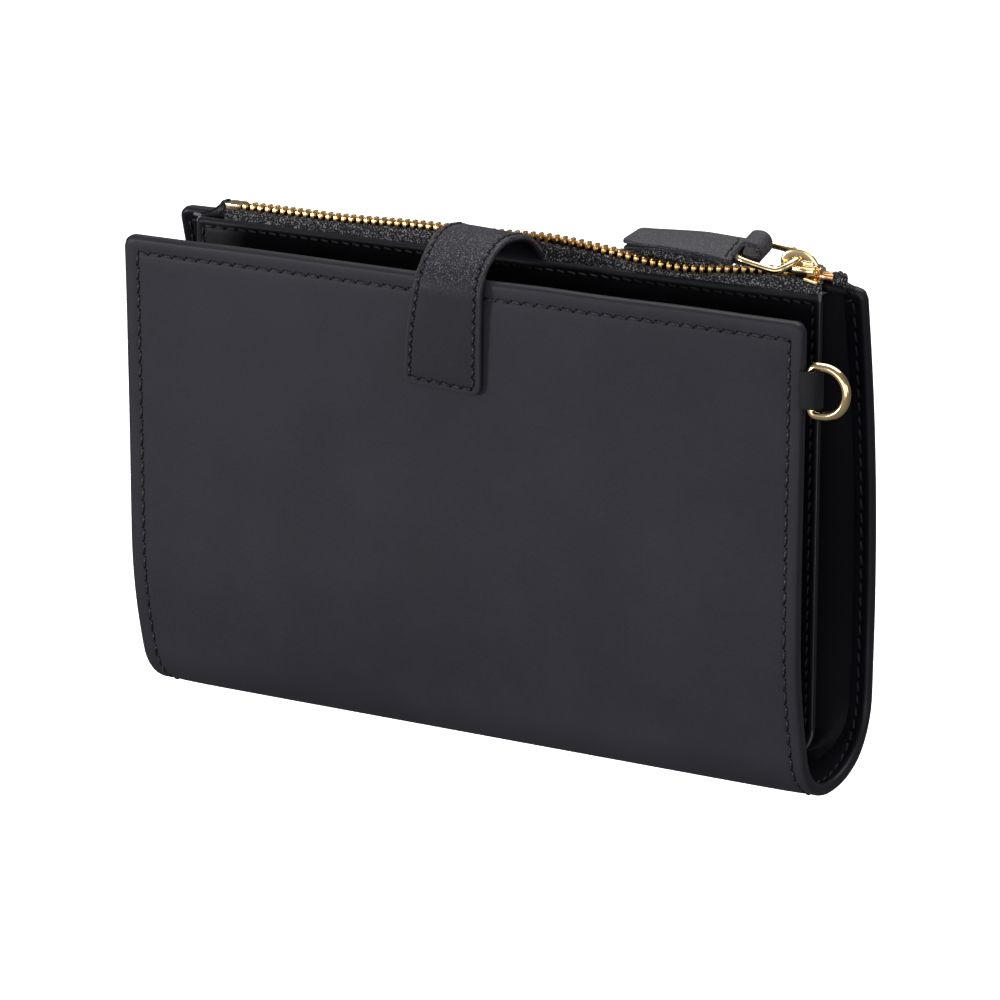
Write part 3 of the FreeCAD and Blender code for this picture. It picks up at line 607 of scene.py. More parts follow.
def smooth(points, closed=False, steps=6):  # a soft curve through points
    count, curve = len(points), []
    for i in range(count if closed else count - 1):
        a, b, c, d = (Vector(points[(i + k) % count] if closed else points[min(max(i + k, 0), count - 1)])
                      for k in (-1, 0, 1, 2))
        for t in (step / steps for step in range(steps)):
            curve.append(0.5 * (2 * b + (c - a) * t + (2 * a - 5 * b + 4 * c - d) * t * t
                                + (3 * b - a - 3 * c + d) * t ** 3))
    return curve if closed else curve + [Vector(points[-1])]


def along(path, radius, closed=False, flat=1.0, up=zAxis, square=2.0):  # stations of a round wire
    stations, count = [], len(path)
    for i, here in enumerate(path):
        before = path[i - 1] if closed or i else here
        after = path[(i + 1) % count] if closed or i < count - 1 else here
        way = (Vector(after) - Vector(before)).normalized()
        across = way.cross(up).normalized()
        stations.append((here, across, across.cross(way), radius, radius * flat, square))
    return stations


def roundCorners(corners, radii, steps):  # a closed path of points round flat corners
    path, count = [], len(corners)
    for i, radius in enumerate(radii):
        before, here, after = (Vector(corners[(i + k) % count]) for k in (-1, 0, 1))
        into, out = (before - here).normalized(), (after - here).normalized()
        half = into.angle(out) / 2
        reach = radius / math.tan(half)
        centre = here + (into + out).normalized() * (radius / math.sin(half))
        first, last = here + into * reach - centre, here + out * reach - centre
        turn = first.angle(last)
        side = (last - first * math.cos(turn)) / math.sin(turn)
        path += [centre + first * math.cos(turn * k / steps) + side * math.sin(turn * k / steps)
                 for k in range(steps + 1)]
    spaced = []
    for a, b in zip(path, path[1:] + path[:1]):
        spaced.append(a)
        extra = int((b - a).length / 1.5)
        spaced += [a.lerp(b, (k + 1) / (extra + 1)) for k in range(extra)]
    return [point for point, after in zip(spaced, spaced[1:] + spaced[:1]) if (point - after).length > 1e-4]


# zip pocket
wallLow, wallHigh = boxOf("pocket_front_wall")
pocketShape = {"seam": 2.3, "topSeam": 2.1, "dent": 0.12, "corner": 7.5, "round": 1.0, "lower": 1.8, "shift": -0.9}
gussetShape = {"inset": 0.6, "flare": 3.6, "hollow": 2.2, "thick": 0.9, "foot": 4.3, "behind": 0.3, "front": 0.5,
               "climb": {"left": 0.0, "right": 1.3}, "rims": (0.42, 0.36)}
pocketStitch = {**stitchShape, "pitch": 3.0, "long": 2.3}


def wallDrift(x, s, point):
    free = min(1.0, s / 14, (wallHigh.x - abs(x)) / 10)
    ends = pocketShape["shift"] * (ease(x, -74, -86) + ease(x, 74, 86))
    return Vector((ends, -0.5 * abs(noise(Vector((x / 45, s / 40, 5.5)))) * max(free, 0), 0))


def makePocket():
    shape = pocketShape
    foot = wallLow.z - shape["lower"]
    line = Line([(wallLow.y, wallHigh.z), (wallLow.y, foot)], [])
    wall = Hide(line, (wallLow.x, wallHigh.x), (0, line.length), (0, wallHigh.y - wallLow.y),
                roundNear=shape["round"], roundFar=0.2, corners=(1.6, shape["corner"]),
                groove=shape["seam"], dent=shape["dent"], drift=wallDrift, step=5)
    settle(wall.build("pocketWall", liningLeather), "rear_cover", "lining_leather", "pocket_front_wall",
           "strap_sewn_end")
    x0, x1, low = wallLow.x + shape["seam"], wallHigh.x - shape["seam"], line.length - shape["corner"]
    top = shape["topSeam"]
    legs = [((x0, low), (x0, top)), ((x0, top), (x1, top)), ((x1, top), (x1, low))]
    settle(sew("pocketWallStitches", wall, "near", legs, pocketStitch, shadedThread), "rear_cover", "lining_leather")
    for side, sign in (("left", -1), ("right", 1)):
        makeGusset(side, sign, foot)


def makeGusset(side, sign, foot):
    shape = gussetShape
    corner = pocketShape["corner"] - shape["inset"]
    top, front = wallHigh.z - shape["inset"], wallLow.y + shape["front"]
    straight = top - foot - corner

    def surface(u, v):  # from the wall's outline back to the rear cover, hollow between
        run = (straight + corner * math.pi / 2) * v
        angle = max(0.0, run - straight) / corner
        reach = corner + shape["flare"] * u - shape["hollow"] * math.sin(math.pi * u)
        x = wallHigh.x - shape["inset"] - corner + reach * math.cos(angle)
        z = top - run if run < straight else foot + corner - reach * math.sin(angle)
        x = sign * x + pocketShape["shift"] * ease(z, wallLow.z - 7, wallLow.z + 2)
        z = max(z, shape["foot"])
        back = coverBack(z) + shape["behind"] + coverShape["lean"][1] * rearLean(x, z)
        z += shape["climb"][side] * u * (1 - v) ** 8
        return Vector((x, front + (back - front) * u, z))

    gusset = sheetOf(f"{side}Gusset", surface, shares(12), shares(60), sign * shape["thick"], liningLeather)
    settle(gusset, "rear_cover", "lining_leather", f"pocket_gusset_{side}")
    rims = [[surface(u, 0) + zAxis * 0.1 for u in shares(16)], [surface(0, v) for v in shares(60)]]
    points, faces = [], []
    for rim, size in zip(rims, shape["rims"]):  # light tubes along its top edge and along the fold by the wall: painted highlights on those edges
        addLoft(points, faces, along(rim, size, up=Vector((1, 0.2, 0.1))), 10)
    settle(addPiece(f"{side}GussetFold", points, faces, highlightRimPaint), "rear_cover", "lining_leather")


def coverBack(z):  # the rear lining's face at a height
    low, high = coverMiddle + 2, coverLine.length
    for _ in range(24):
        s = (low + high) / 2
        low, high = (s, high) if coverLine.at(s, coverShape["thick"])[1] < z else (low, s)
    return coverLine.at(low, coverShape["thick"])[0]


makePocket()
print("pocket made")

# snap strap
strapLow, strapHigh = boxOf("strap_outer")
strapShape = {"root": (2.0, 26.1, 29.1), "crown": (-3.0, 0.2), "brow": (-15.0, 0.9), "bulge": 0.35, "turn": 1.9,
              "radii": (4.0, 9.5, 17.0, 10.0), "skin": 1.0, "thick": 1.75, "round": 0.6, "corner": 2.6, "seam": 1.7,
              "dent": 0.12, "puff": 0.15, "rise": 1.0, "skew": 3.0, "sway": (1.2, -1.0), "taper": (-0.09, 0.06),
              "tip": 1.3}
strapStitch = {**stitchShape, "pitch": 2.6, "long": 2.0}
strapRoot = strapHigh.y + strapShape["root"][0]
strapLine = Line(
    [*[(strapRoot, strapLow.z + height) for height in strapShape["root"][1:]],
     *[(strapHigh.y + y, strapHigh.z + z) for y, z in (strapShape["crown"], strapShape["brow"])],
     (strapLow.y - strapShape["bulge"], outerHigh.z + strapShape["turn"]), (strapLow.y + 0.3, strapLow.z)],
    strapShape["radii"])
strapBend = ("rear_cover", "strap", (0, 0.0029, 0.1245), (0, -0.004, 0.1245))


def strapDrift(x, s, point):  # it leans to the right at its root, where its left side is higher
    shape, wide = strapShape, strapHigh.x - strapLow.x
    share = (strapHigh.x - x) / wide
    crest = math.exp(-((s - 12) / 8) ** 2)
    lean = max(0.0, 1 - s / 30) ** 2.2
    drop = shape["tip"] * (0.65 - share) * ease(s, strapLine.length - 20, strapLine.length)
    hang = (s - strapLine.length + 30) / 30  # below the bend it sways to the left and widens
    bend, hang = math.exp(-(hang * 2.4) ** 2), max(0.0, hang)
    sway = shape["sway"][0] * bend + shape["sway"][1] * hang
    sway += (0.5 - share) * wide * (shape["taper"][0] * bend + shape["taper"][1] * hang)
    return Vector((shape["skew"] * lean + sway, 0, shape["rise"] * (share - 0.4) * crest - drop))


def makeStrap():
    shape, length, sides = strapShape, strapLine.length, (strapLow.x, strapHigh.x)
    shared = {"rolled": (False, True), "corners": (0, shape["corner"]), "groove": shape["seam"],
              "dent": shape["dent"], "drift": strapDrift, "step": 1.5}
    outer = Hide(strapLine, sides, (0, length), (0.0, shape["skin"]), roundNear=shape["round"], puff=shape["puff"],
                 **shared)
    inner = Hide(strapLine, sides, (0, length), (shape["skin"], shape["thick"]), roundFar=shape["round"], **shared)
    settle(outer.build("strapLeather", strapLeather), strapBend, "leather", "strap_outer")
    settle(inner.build("strapLining", liningLeather), strapBend, "lining_leather", "strap_lining")
    x0, x1, tip = sides[0] + shape["seam"], sides[1] - shape["seam"], length - shape["seam"]
    legs = [((x0, 4), (x0, tip)), ((x0, tip), (x1, tip)), ((x1, tip), (x1, 4))]
    settle(sew("strapStitches", outer, "near", legs, strapStitch), strapBend, "leather")


makeStrap()
print("strap made")

# zip pull
tabShape = {"roll": 8.0, "slope": 2.0, "twist": 0.23, "arch": 0.8, "gape": 0.5, "ripple": 0.12, "neck": 3.8,
            "long": 29.2, "wide": 10.0, "skin": 0.8, "round": 0.42, "corner": 1.6}
loopShape = {"wide": 6.8, "radius": 2.9, "shift": (-0.35, 0.35), "skin": 1.15, "reach": 1.2, "twist": 0.161,
             "throat": (2.2, 0.8, 1.2), "filling": ((-0.93, 0.4), (-0.88, 0.68), (0.88, 0.68), (0.93, 0.4))}
tabStitch = {**stitchShape, "pitch": 2.4, "long": 1.9, "thick": 0.24}


def makeTab():
    shape, half = tabShape, tabShape["wide"] / 2
    turn = Matrix.Rotation(math.radians(shape["roll"]), 4, "X") @ Matrix.Rotation(math.pi, 4, "Z")
    turn = turn @ Matrix.Rotation(math.radians(shape["slope"]), 4, "Y") @ Matrix.Rotation(-math.pi / 2, 4, "Z")
    seat = Matrix.Translation(jointPlace("tab_swing")) @ turn
    line = Line([(shape["neck"], 0), (shape["neck"] + shape["long"], 0)], [])
    for layer, sign in (("top", 1), ("bottom", -1)):
        def drift(x, s, point):  # the layers part a little at the free end
            open, share = max(0.0, (s - 20) / 8.5) ** 2, max(0.0, 1 - s / shape["long"])
            turned = (x - half) * shape["twist"] * share + shape["arch"] * math.sin(math.pi * share)
            return zAxis * (turned + sign * shape["gape"] * open
                            + shape["ripple"] * noise(Vector((x / 6, s / 7, sign))))

        deep = (0, shape["skin"]) if sign > 0 else (-shape["skin"], 0)
        rounds = (0.1, shape["round"]) if sign > 0 else (shape["round"], 0.1)
        blade = Hide(line, (-half, half), (0, line.length), deep, roundNear=rounds[0], roundFar=rounds[1],
                     corners=(0.8, shape["corner"]), drift=drift, step=1.2, seat=seat)
        settle(blade.build(layer + "TabLeather", litTabLeather), "pull_tab", "leather", f"pull_tab_{layer}")
        if sign > 0:
            legs = [((-half + 1, 2.2), (half - 1, 2.2))]
            settle(sew("tabStitches", blade, "far", legs, tabStitch), "pull_tab", "leather")
    makeTabLoop(seat)


def makeTabLoop(seat):
    shape, half = loopShape, tabShape["wide"] / 2
    wide, radius, far = shape["wide"] / 2, shape["radius"], tabShape["neck"] + shape["reach"]
    (back, up), (before, gap, bend) = shape["shift"], shape["throat"]
    around = Line([(far, -gap), (back + before, up - radius), (back - radius, up - radius),
                   (back - radius, up + radius), (back + before, up + radius), (far, gap)],
                  [bend, radius * 0.97, radius * 0.97, bend])

    def drift(x, s, point):  # its ends follow the twisted blade
        return zAxis * (x * shape["twist"] - half * tabShape["twist"] * ease(point.y, 0.5, 4.6))

    loop = Hide(around, (-wide, wide), (0, around.length), (-shape["skin"], 0), rolled=(False, False),
                roundFar=0.6, roundNear=0.2, drift=drift, step=0.6, seat=seat)
    settle(loop.build("tabLoop", litTabLeather), "pull_tab", "leather", "pull_tab_loop")
    across, tall = (seat.to_3x3() @ axis for axis in (yAxis, zAxis))
    stations = [(seat @ Vector((wide * k, back, up + wide * k * shape["twist"])), across, tall, radius * size,
                 radius * size, 2) for k, size in shape["filling"]]
    settle(loft("loopFilling", stations, litTabLeather), "pull_tab", "leather")


makeTab()
print("tab made")

# card slots
cardShape = {"round": 0.3, "corner": 1.2, "seam": 2.4, "ends": 2.0, "dent": 0.08, "ripple": 0.12}
cardStitch = {**stitchShape, "thick": 0.22}


def makeCards():
    shape = cardShape
    for side, tier in ((side, tier) for side in ("left", "right") for tier in (1, 2, 3)):
        def drift(x, s, point):
            return yAxis * (shape["ripple"] * noise(Vector((x / 22, s / 15, tier + 3.0))))

        low, high = boxOf(f"card_slot_{side}_{tier}")
        line = Line([(low.y, high.z), (low.y, low.z)], [])
        panel = Hide(line, (low.x, high.x), (0, line.length), (0, high.y - low.y), roundNear=0.1,
                     roundFar=shape["round"], corners=(shape["corner"], 0.6), groove=shape["seam"], dent=shape["dent"],
                     drift=drift, step=4)
        settle(panel.build(f"{side}Card{tier}", liningLeather), "front_cover", "lining_leather",
               f"card_slot_{side}_{tier}")
        legs = [((low.x + shape["ends"], shape["seam"]), (high.x - shape["ends"], shape["seam"]))]
        settle(sew(f"{side}Card{tier}Stitches", panel, "far", legs, cardStitch), "front_cover", "lining_leather")


makeCards()
print("card slots made")

# zip
tapeShape = {"turn": 2.6, "radius": 1.5, "rib": 0.16, "ripple": 0.2, "hump": (2.8, 43, 16), "steepest": 1.35}
toothShape = {"pitch": 2.2, "half": 0.9, "bevel": 0.18,
              "outline": [(-2.0, 0.42), (-0.95, 0.46), (-0.55, 0.28), (-0.1, 0.28), (0.15, 0.42), (0.36, 0.33),
                          (0.45, 0.15)]}
stopShape = {"square": 7, "top": (0.7, 0.98),
             "profile": [(-1, 1.6, 0.72), (-0.94, 1.9, 0.94), (-0.4, 2.0, 1), (0, 1.92, 0.9), (0.4, 2.0, 1),
                         (0.94, 1.9, 0.94), (1, 1.6, 0.72)],
             "topProfile": [(-1.9, 0.66), (-1.615, 0.88), (0, 0.84), (1.615, 0.88), (1.9, 0.66)]}
foldShape = {"down": 1.0, "foot": 0.8,
             "threads": {"places": (0.6, 1.15, 1.7), "size": (2.12, 2.3), "drop": 1.66, "lean": 0.4, "thick": 0.24},
             "left": [(-0.1, -0.15, 1.8, 0), (-0.8, 0.25, 2.05, 0), (-1.7, -0.2, 1.95, -0.05), (-3.2, -1.4, 1.7, -0.2),
                      (-4.6, -2.4, 1.5, -0.5), (-6.0, -3.0, 1.3, -0.9), (-7.2, -3.3, 0.9, -1.2)],
             "bed": [(-3.4, 0.6), (-3.0, 1.0), (-1.0, 1.05), (1.2, 0.95), (3.0, 0.8), (4.0, 0.6)],
             "knot": [(-0.6, 0.45), (-0.25, 0.9), (0.2, 1.0), (0.65, 0.85), (0.95, 0.4)],
             "tail": [(-0.3, 0, -1.2), (0.5, 1.6, -2.4), (0.6, 3.9, -3.4), (0.3, 6.0, -4.2)]}


def bump(x, height, middle, wide):
    return height * math.exp(-((x - middle) / wide) ** 2)


def zipSag(x):  # the run rises by the strap and dips under the pull
    return bump(x, 0.7, 10, 12) - bump(x, 2.3, 47, 17) - 0.8 * ease(x, -20, -50)


def makeTapes():
    shape = tapeShape
    for side, sign in (("front", -1), ("rear", 1)):
        low, high = boxOf(f"zip_tape_{side}")
        face = low.y if sign < 0 else high.y

        def surface(u, v):  # upright, then turned in between the teeth
            x, z = low.x + (high.x - low.x) * u, low.z + (high.z - low.z - 0.9) * v
            turned = max(0.0, z - high.z + shape["turn"])
            angle = min(turned / shape["radius"], shape["steepest"])
            if turned:
                z = high.z - shape["turn"] + shape["radius"] * math.sin(angle)
            inward = shape["radius"] * (1 - math.cos(angle))
            rib = shape["rib"] * math.sin(z * 4.9 + math.sin(x * 3.1)) * math.sin(x * 4.6 + z * 1.7)
            wave = abs(shape["ripple"] * noise(Vector((x / 14, z / 12, sign)))) * 0.5
            y = face - sign * (0.05 + inward) + sign * (rib + wave)
            sag = zipSag(x) * (1 if sign < 0 else 0.25 + 0.75 * ease(turned, 0, shape["turn"]))
            rise = sag * ease(z, low.z + 6, high.z - 2)
            if sign > 0:  # the rear one stands up behind the teeth
                rise += bump(x, *shape["hump"]) * ease(z, high.z - 5, high.z - 2.6) * (1 - ease(turned, 0.6, 2.4))
            return Vector((x, y, z + rise))

        tape = sheetOf(f"{side}Tape", surface, shares(420), shares(48), -sign * 0.3, tapeCloth, crease=70)
        settle(tape, "rear_cover", "zip_tape", f"zip_tape_{side}")


def makeTeeth():
    shape = toothShape
    outline = [(wide, y) for y, wide in shape["outline"]] + [(-wide, y) for y, wide in reversed(shape["outline"])]
    cut, level = shape["bevel"], shape["half"]
    layers = ((-level, cut), (-level + cut, 0), (0, -0.03), (level - cut, 0), (level - cut * 0.3, cut * 0.6),
              (level, cut * 1.5))
    for row, sign in (("front", 1), ("rear", -1)):
        low, high = boxOf(f"zip_teeth_{row}")
        middle = (low.y + 2.0) if sign > 0 else (high.y - 2.0)
        height = (low.z + high.z) / 2
        points, faces = [], []
        for number in range(round((high.x - low.x - 1.0) / shape["pitch"]) + 1):
            x = low.x + 0.5 + shape["pitch"] * number
            addRings(points, faces, [[(x + px * (1 - shrink / 0.62),
                                       middle + sign * (py * (1 - shrink / 3) - shrink * 0.2),
                                       height + rise + zipSag(x)) for px, py in outline] for rise, shrink in layers])
        teeth = addPiece(f"{row}Teeth", points, faces, toothGold, crease=35)
        settle(teeth, "rear_cover", "zip_metal", f"zip_teeth_{row}")


def makeZipStops():
    low, high = boxOf("zip_bottom_stop")
    middle, half = (low + high) / 2, (high - low) / 2
    middle.z += zipSag(middle.x)
    profile = [(half.x * along, wide, half.z * tall) for along, wide, tall in stopShape["profile"]]
    points, faces = addBar([], [], middle, profile, stopShape["square"], 24)
    settle(addPiece("bottomStop", points, faces, gold), "rear_cover", "zip_metal", "zip_bottom_stop")
    low, high = boxOf("zip_top_stops")
    shift, apart = stopShape["top"]
    profile = [(x, size, size) for x, size in stopShape["topProfile"]]
    points, faces = [], []
    for y in (-apart, apart):
        addBar(points, faces, (low + high) / 2 + Vector((shift, y, 0)), profile, 3)
    settle(addPiece("topStops", points, faces, copper), "rear_cover", "zip_metal", "zip_top_stops")


def makeTapeEnds():
    low, high = boxOf("tape_end_left")
    centre, foot, top = (low.y + high.y) / 2, wallHigh.z - foldShape["foot"], high.z - foldShape["down"]
    stations = []
    for x, z, wide, shift in foldShape["left"]:
        tall = (top + z - foot) / 2
        stations.append((Vector((high.x + x, centre + shift, foot + tall)), yAxis, zAxis, wide, tall, 3.2))
    settle(loft("tapeEndLeft", stations, liningLeather, 28, crease=60), "rear_cover", "zip_tape", "tape_end_left")
    points, faces, threads = [], [], foldShape["threads"]
    wide, tall = threads["size"]
    for x in threads["places"]:  # thread bound round the folded end
        height = top - threads["drop"] - x * threads["lean"]
        ring = [Vector((high.x - x, centre + wide * math.cos(angle), height + tall * math.sin(angle)))
                for angle in turns(24)]
        addLoft(points, faces, along(ring, threads["thick"], True, up=Vector((1, 0, 0.1))), 6, True)
    settle(addPiece("endThreads", points, faces, thread), "rear_cover", "zip_tape")

    low, high = boxOf("tape_end_right")
    centre = (low + high) / 2
    place = Vector((low.x, centre.y + 0.3, centre.z - 2.5))
    profile = [(x, 1.9 * size, 1.35 * size) for x, size in foldShape["bed"]]  # folded tape below the stops
    bed = addPiece("tapeBed", *addBar([], [], place, profile, 3, 20, 0.14), liningLeather)
    points, faces = [], []
    for k, size in enumerate((1.25, 1.5, 1.25)):  # the knotted end, and its tail
        place = Vector((low.x + 0.8 + k * 1.05, centre.y + 0.2 * (k - 1), centre.z - 0.2 - 0.1 * k))
        addBar(points, faces, place, [(x, size * part, size * 1.3 * part) for x, part in foldShape["knot"]], 2.4)
    tail = smooth([(high.x + x, centre.y + y, centre.z + z) for x, y, z in foldShape["tail"]])
    addLoft(points, faces, along(tail, 0.95, up=yAxis), 12)
    settle(bed, "rear_cover", "zip_tape")
    settle(addPiece("tapeEndRight", points, faces, tapeCloth, crease=60), "rear_cover", "zip_tape", "tape_end_right")


makeTapes()
makeTeeth()
makeZipStops()
makeTapeEnds()
print("zip made")

# slider, ring and D-ring
sliderShape = {
    "plate": ((-4.6, 1.5, 0.28), (-4.4, 1.9, 0.42), (-3.0, 2.35, 0.5), (-0.8, 2.75, 0.52), (1.5, 2.9, 0.52),
              (3.6, 2.9, 0.5), (4.35, 2.7, 0.42), (4.6, 2.3, 0.25)),
    "bridge": ((0.2, -3.6), (0.0, -2.6), (0.8, -1.4), (2.6, -0.9), (4.6, -1.1), (6.1, -1.9), (7.0, -3.0), (7.3, -3.9)),
    "lip": (9.0, 0.8, 1.1),
    "feet": ((-0.75, 0.7), (-0.5, 1), (0.5, 1), (0.75, 0.7)),
    "collar": ((-0.35, 0.8), (-0.1, 1), (0.1, 1), (0.35, 0.8)),
    "cheek": ((-0.7, 0.8), (-0.5, 1), (0.9, 0.9), (1.1, 0.6)),
    "lipEnds": ((-1.75, 0.86), (-1.55, 1), (1.55, 1), (1.75, 0.86)),
}
ringShape = {"wire": 0.84, "path": [
    (-14.7, -0.1, 0.5), (-14.5, -3.6, -0.4), (-13.2, -4.75, -0.75), (-8.6, -4.8, -1.7), (-4.4, -4.5, -2.3),
    (-2.3, -3.2, -1.4), (-1.0, -1.2, -0.4), (-0.7, 0.2, 0.0), (-1.2, 1.9, 0.4), (-2.7, 3.5, 0.65), (-5.7, 4.5, 0.9),
    (-10.2, 4.9, 1.3), (-13.4, 4.75, 1.6), (-14.5, 3.6, 1.4)]}


def makeSlider():
    shape, plate = sliderShape, sliderShape["plate"]
    low, high = boxOf("slider_body")
    crownLow, crownHigh = boxOf("slider_crown")
    middle, top = (low + high) / 2, high.z - 0.45
    points, faces = addBar([], [], (middle.x, middle.y, top), plate, 4.5, 28)
    under = [(x, min(wide, 1.7), tall * 0.8) for x, wide, tall in plate]
    addBar(points, faces, (middle.x, middle.y, low.z + 0.4), under, 4.5, 20)
    for sign in (-1, 1):  # rims that fold down over the teeth
        stations = [(Vector((middle.x + x, middle.y + sign * (wide - 0.3), top - 0.55)), yAxis, zAxis, 0.3, 0.75, 3)
                    for x, wide, tall in plate[2:7]]
        addLoft(points, faces, stations, 12)
    wedge = [(Vector((middle.x + 3.2, middle.y, z)), xAxis, yAxis, 1.0, 0.5, 3) for z in (low.z + 0.3, top)]
    addLoft(points, faces, wedge, 12)
    settle(addPiece("sliderBody", points, faces, gold), "slider", "zip_metal", "slider_body")

    bridge = smooth([(crownLow.x + x, middle.y, crownHigh.z + z) for x, z in shape["bridge"]], steps=5)
    points, faces = addLoft([], [], along(bridge, 1.3, flat=0.33, up=yAxis, square=3.5))
    parts = [(x, top + 0.25, 1.5, 0.5, 4, "feet") for x in (crownLow.x + 0.3, crownHigh.x - 0.2)]
    parts += [(crownHigh.x + x, top - 1.0, 1.7, 1.5, 3, "collar") for x in (0.5, 1.5)]  # before the stops
    parts += [(crownHigh.x + x, top + z, 1.0, 0.9, 4, "cheek") for x, z in ((-2.6, 0.8), (-1.4, 0.75))]
    for x, z, wide, tall, square, part in parts:
        profile = [(step, wide * size, tall * size) for step, size in shape[part]]
        addBar(points, faces, (x, middle.y, z), profile, square)
    profile = [(step, 2.4 * size, 0.5 * size) for step, size in shape["lipEnds"]]
    addBar(points, faces, low + Vector(shape["lip"]), profile, 6, 20, 0.22)  # it lies over the tape in front
    settle(addPiece("sliderCrown", points, faces, gold), "slider", "zip_metal", "slider_crown")


def makePullRing():
    place = jointPlace("ring_swing")
    path = smooth([place + Vector(spot) for spot in ringShape["path"]], closed=True, steps=7)
    ring = loft("pullRing", along(path, ringShape["wire"], True, up=Vector((0, 0.3, 1))), gold, 16, True)
    settle(ring, "pull_ring", "ring_metal", "pull_ring")


makeSlider()
makePullRing()

dringShape = {"wire": 1.12, "arm": 2.7, "tall": 5.65, "corner": 1.4, "behind": 0.4}
keeperShape = {"eye": 1.35, "skin": 0.65, "reach": 2.0, "round": 0.3, "shift": -0.3, "taller": 0.9}


def makeDring():
    shape, place = dringShape, jointPlace("dring_swing")
    tall, back, bow = shape["tall"], -shape["behind"], shape["arm"] + shape["tall"]
    flat = roundCorners([(back, 0, -tall), (bow, 0, -tall), (bow, 0, tall), (back, 0, tall)],
                        [shape["corner"], tall - 0.01, tall - 0.01, shape["corner"]], 12)
    ring = loft("dRing", along([place + point for point in flat], shape["wire"], True, up=yAxis), gold, 18, True)
    settle(ring, "d_ring", "ring_metal", "d_ring")


def makeKeeper():
    shape = keeperShape
    low, high = boxOf("dring_keeper")
    outer, half = shape["eye"] + shape["skin"], (high.z - low.z) / 2
    around = Line([(-shape["reach"], outer), (outer, outer), (outer, -outer), (-shape["reach"], -outer)],
                  [outer * 0.98, outer * 0.98])
    seat = Matrix.Translation(jointPlace("dring_swing") + xAxis * shape["shift"])
    seat = seat @ Matrix(((0, 1, 0, 0), (0, 0, 1, 0), (1, 0, 0, 0), (0, 0, 0, 1)))  # its line's Y and Z are X and Y
    loop = Hide(around, (-half, half + shape["taller"]), (0, around.length), (-0.02, shape["skin"]),
                rolled=(False, False), roundNear=shape["round"], step=0.5, seat=seat)
    settle(loop.build("ringKeeper", shadedKeeperLeather), "front_cover", "leather", "dring_keeper")


makeDring()
makeKeeper()
print("rings made")

# what the leather hides, and the pocket's cloth and floor
for node, material in (("front_cover_stiffener", board), ("front_snap_magnet", nickel), ("strap_snap_magnet", nickel)):
    frame["nodes"][node].data.materials.clear()
    frame["nodes"][node].data.materials.append(material)


clothShape = {"in": 0.15, "ripple": 0.12, "skin": 0.25}
floorShape = {"sag": 0.9, "ripple": 0.2, "skin": 0.9}


def makePocketCloth():
    low, high = boxOf("pocket_cloth")

    def hang(u, v):
        x, z = low.x + (high.x - low.x) * u, low.z + (high.z - low.z) * v
        return Vector((x, low.y + clothShape["in"] + clothShape["ripple"] * noise(Vector((x / 16, z / 16, 9))), z))

    cloth = sheetOf("pocketCloth", hang, shares(60), shares(36), -clothShape["skin"], tapeCloth)
    settle(cloth, "rear_cover", "zip_tape", "pocket_cloth")


def makePocketFloor():
    low, high = boxOf("pocket_floor")

    def sag(u, v):
        x, y = low.x + (high.x - low.x) * u, low.y + (high.y - low.y) * v
        ripple = floorShape["ripple"] * noise(Vector((x / 18, y / 9, 1)))
        return Vector((x, y, high.z - 0.2 - floorShape["sag"] * math.sin(math.pi * v) + ripple))

    floor = sheetOf("pocketFloor", sag, shares(50), shares(10), -floorShape["skin"], liningLeather)
    settle(floor, "rear_cover", "lining_leather", "pocket_floor")


makePocketCloth()
makePocketFloor()
print("inside made")

# camera, light and floor
cameraView = {"place": (0.56068, -0.96669, 0.37350), "azimuth": 30.0, "elevation": 15.7, "lens": 172.37, "sensor": 36}
studioLights = (("topLight", (0.0, 0.45, 1.5), (1.5, 1.5), 26), ("keyLight", (-1.95, -2.3, 0.13), (0.7, 0.24), 44),
                ("frontLight", (0.4, -1.9, 0.12), (2.2, 1.0), 14), ("sideLight", (1.7, -0.7, 0.35), (1.0, 0.6), 3.5))
lightAim = (0, 0, 0.06)
skyFill = {"front": 0.24, "back": 0.14, "from": -0.9, "to": 0.25}  # a soft tent of light, brighter in front
groundShape = {"level": -0.16, "reach": 6}  # clear of the front cover, which hangs below when it is opened
white = (1, 1, 1, 1)


def addObject(name, data):
    made = bpy.data.objects.new(name, data)
    bpy.context.scene.collection.objects.link(made)
    return made


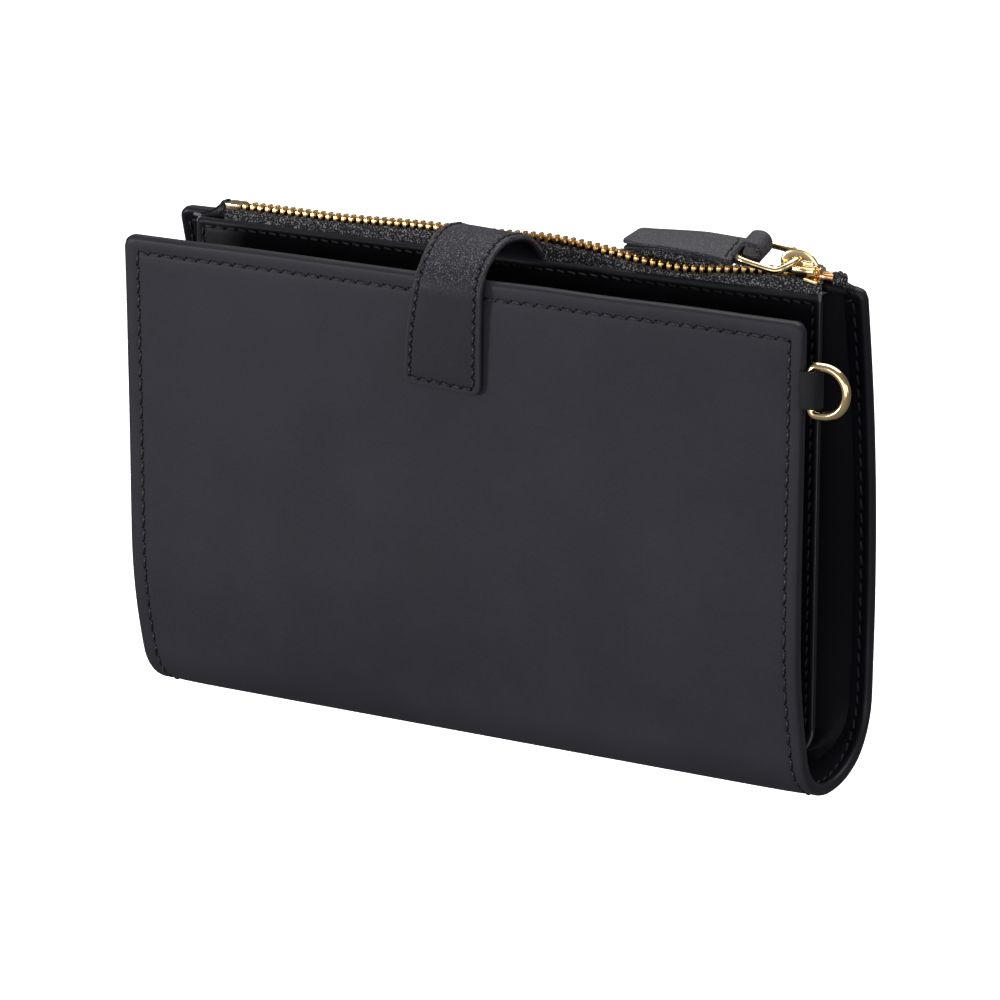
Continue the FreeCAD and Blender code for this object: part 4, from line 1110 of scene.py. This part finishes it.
def setCamera():
    camera = addObject("camera", bpy.data.cameras.new("camera"))
    camera.location = cameraView["place"]
    camera.rotation_euler = (math.radians(90 - cameraView["elevation"]), 0, math.radians(cameraView["azimuth"]))
    camera.data.lens, camera.data.sensor_width = cameraView["lens"], cameraView["sensor"]
    bpy.context.scene.camera = camera


def setFloor():
    mesh = bpy.data.meshes.new("floor")
    corners = [(x * groundShape["reach"], y * groundShape["reach"], groundShape["level"])
               for x, y in ((-1, -1), (1, -1), (1, 1), (-1, 1))]
    mesh.from_pydata(corners, [], [(0, 1, 2, 3)])
    mesh.materials.append(speckledPaint("paleFloor", (40, 2.0), (0.93, 0.93, 0.93, 1), (0.95, 0.95, 0.95, 1), 0.9,
                                        Emission_Color=white, Emission_Strength=1.0))
    floor = addObject("floor", mesh)
    floor.visible_glossy = floor.visible_diffuse = False  # the leather isn't lit from below


def setLights():
    for name, place, size, power in studioLights:
        lamp = bpy.data.lights.new(name, "AREA")
        lamp.energy, lamp.shape, (lamp.size, lamp.size_y) = power, "RECTANGLE", size
        light = addObject(name, lamp)
        light.location = place
        light.rotation_mode = "QUATERNION"
        light.rotation_quaternion = (Vector(lightAim) - Vector(place)).to_track_quat("-Z", "Y")


def setSky():  # white behind the wallet, and a dim fill on it
    world = bpy.data.worlds.new("studio")
    bpy.context.scene.world = world
    world.use_nodes = True
    sky = Nodes(world.node_tree)
    way = sky.node("ShaderNodeTexCoord", {}, {}, "Generated")
    depth = sky.node("ShaderNodeSeparateXYZ", {}, {0: way}, "Y")
    share = sky.node("ShaderNodeMapRange", {}, {"Value": depth, "From Min": skyFill["from"], "From Max": skyFill["to"],
                                                "To Min": skyFill["front"], "To Max": skyFill["back"]})
    fill = sky.node("ShaderNodeBackground", {}, {"Color": white, "Strength": share})
    seen = sky.node("ShaderNodeBackground", {}, {"Color": white})
    ray = sky.node("ShaderNodeLightPath", {}, {}, "Is Camera Ray")
    blend = sky.node("ShaderNodeMixShader", {}, {0: ray, 1: fill, 2: seen})
    sky.feed(sky.tree.nodes["World Output"], {"Surface": blend})


setCamera()
setFloor()
setSky()
setLights()
bpy.context.scene.view_settings.view_transform = "Standard"
print("stage set")
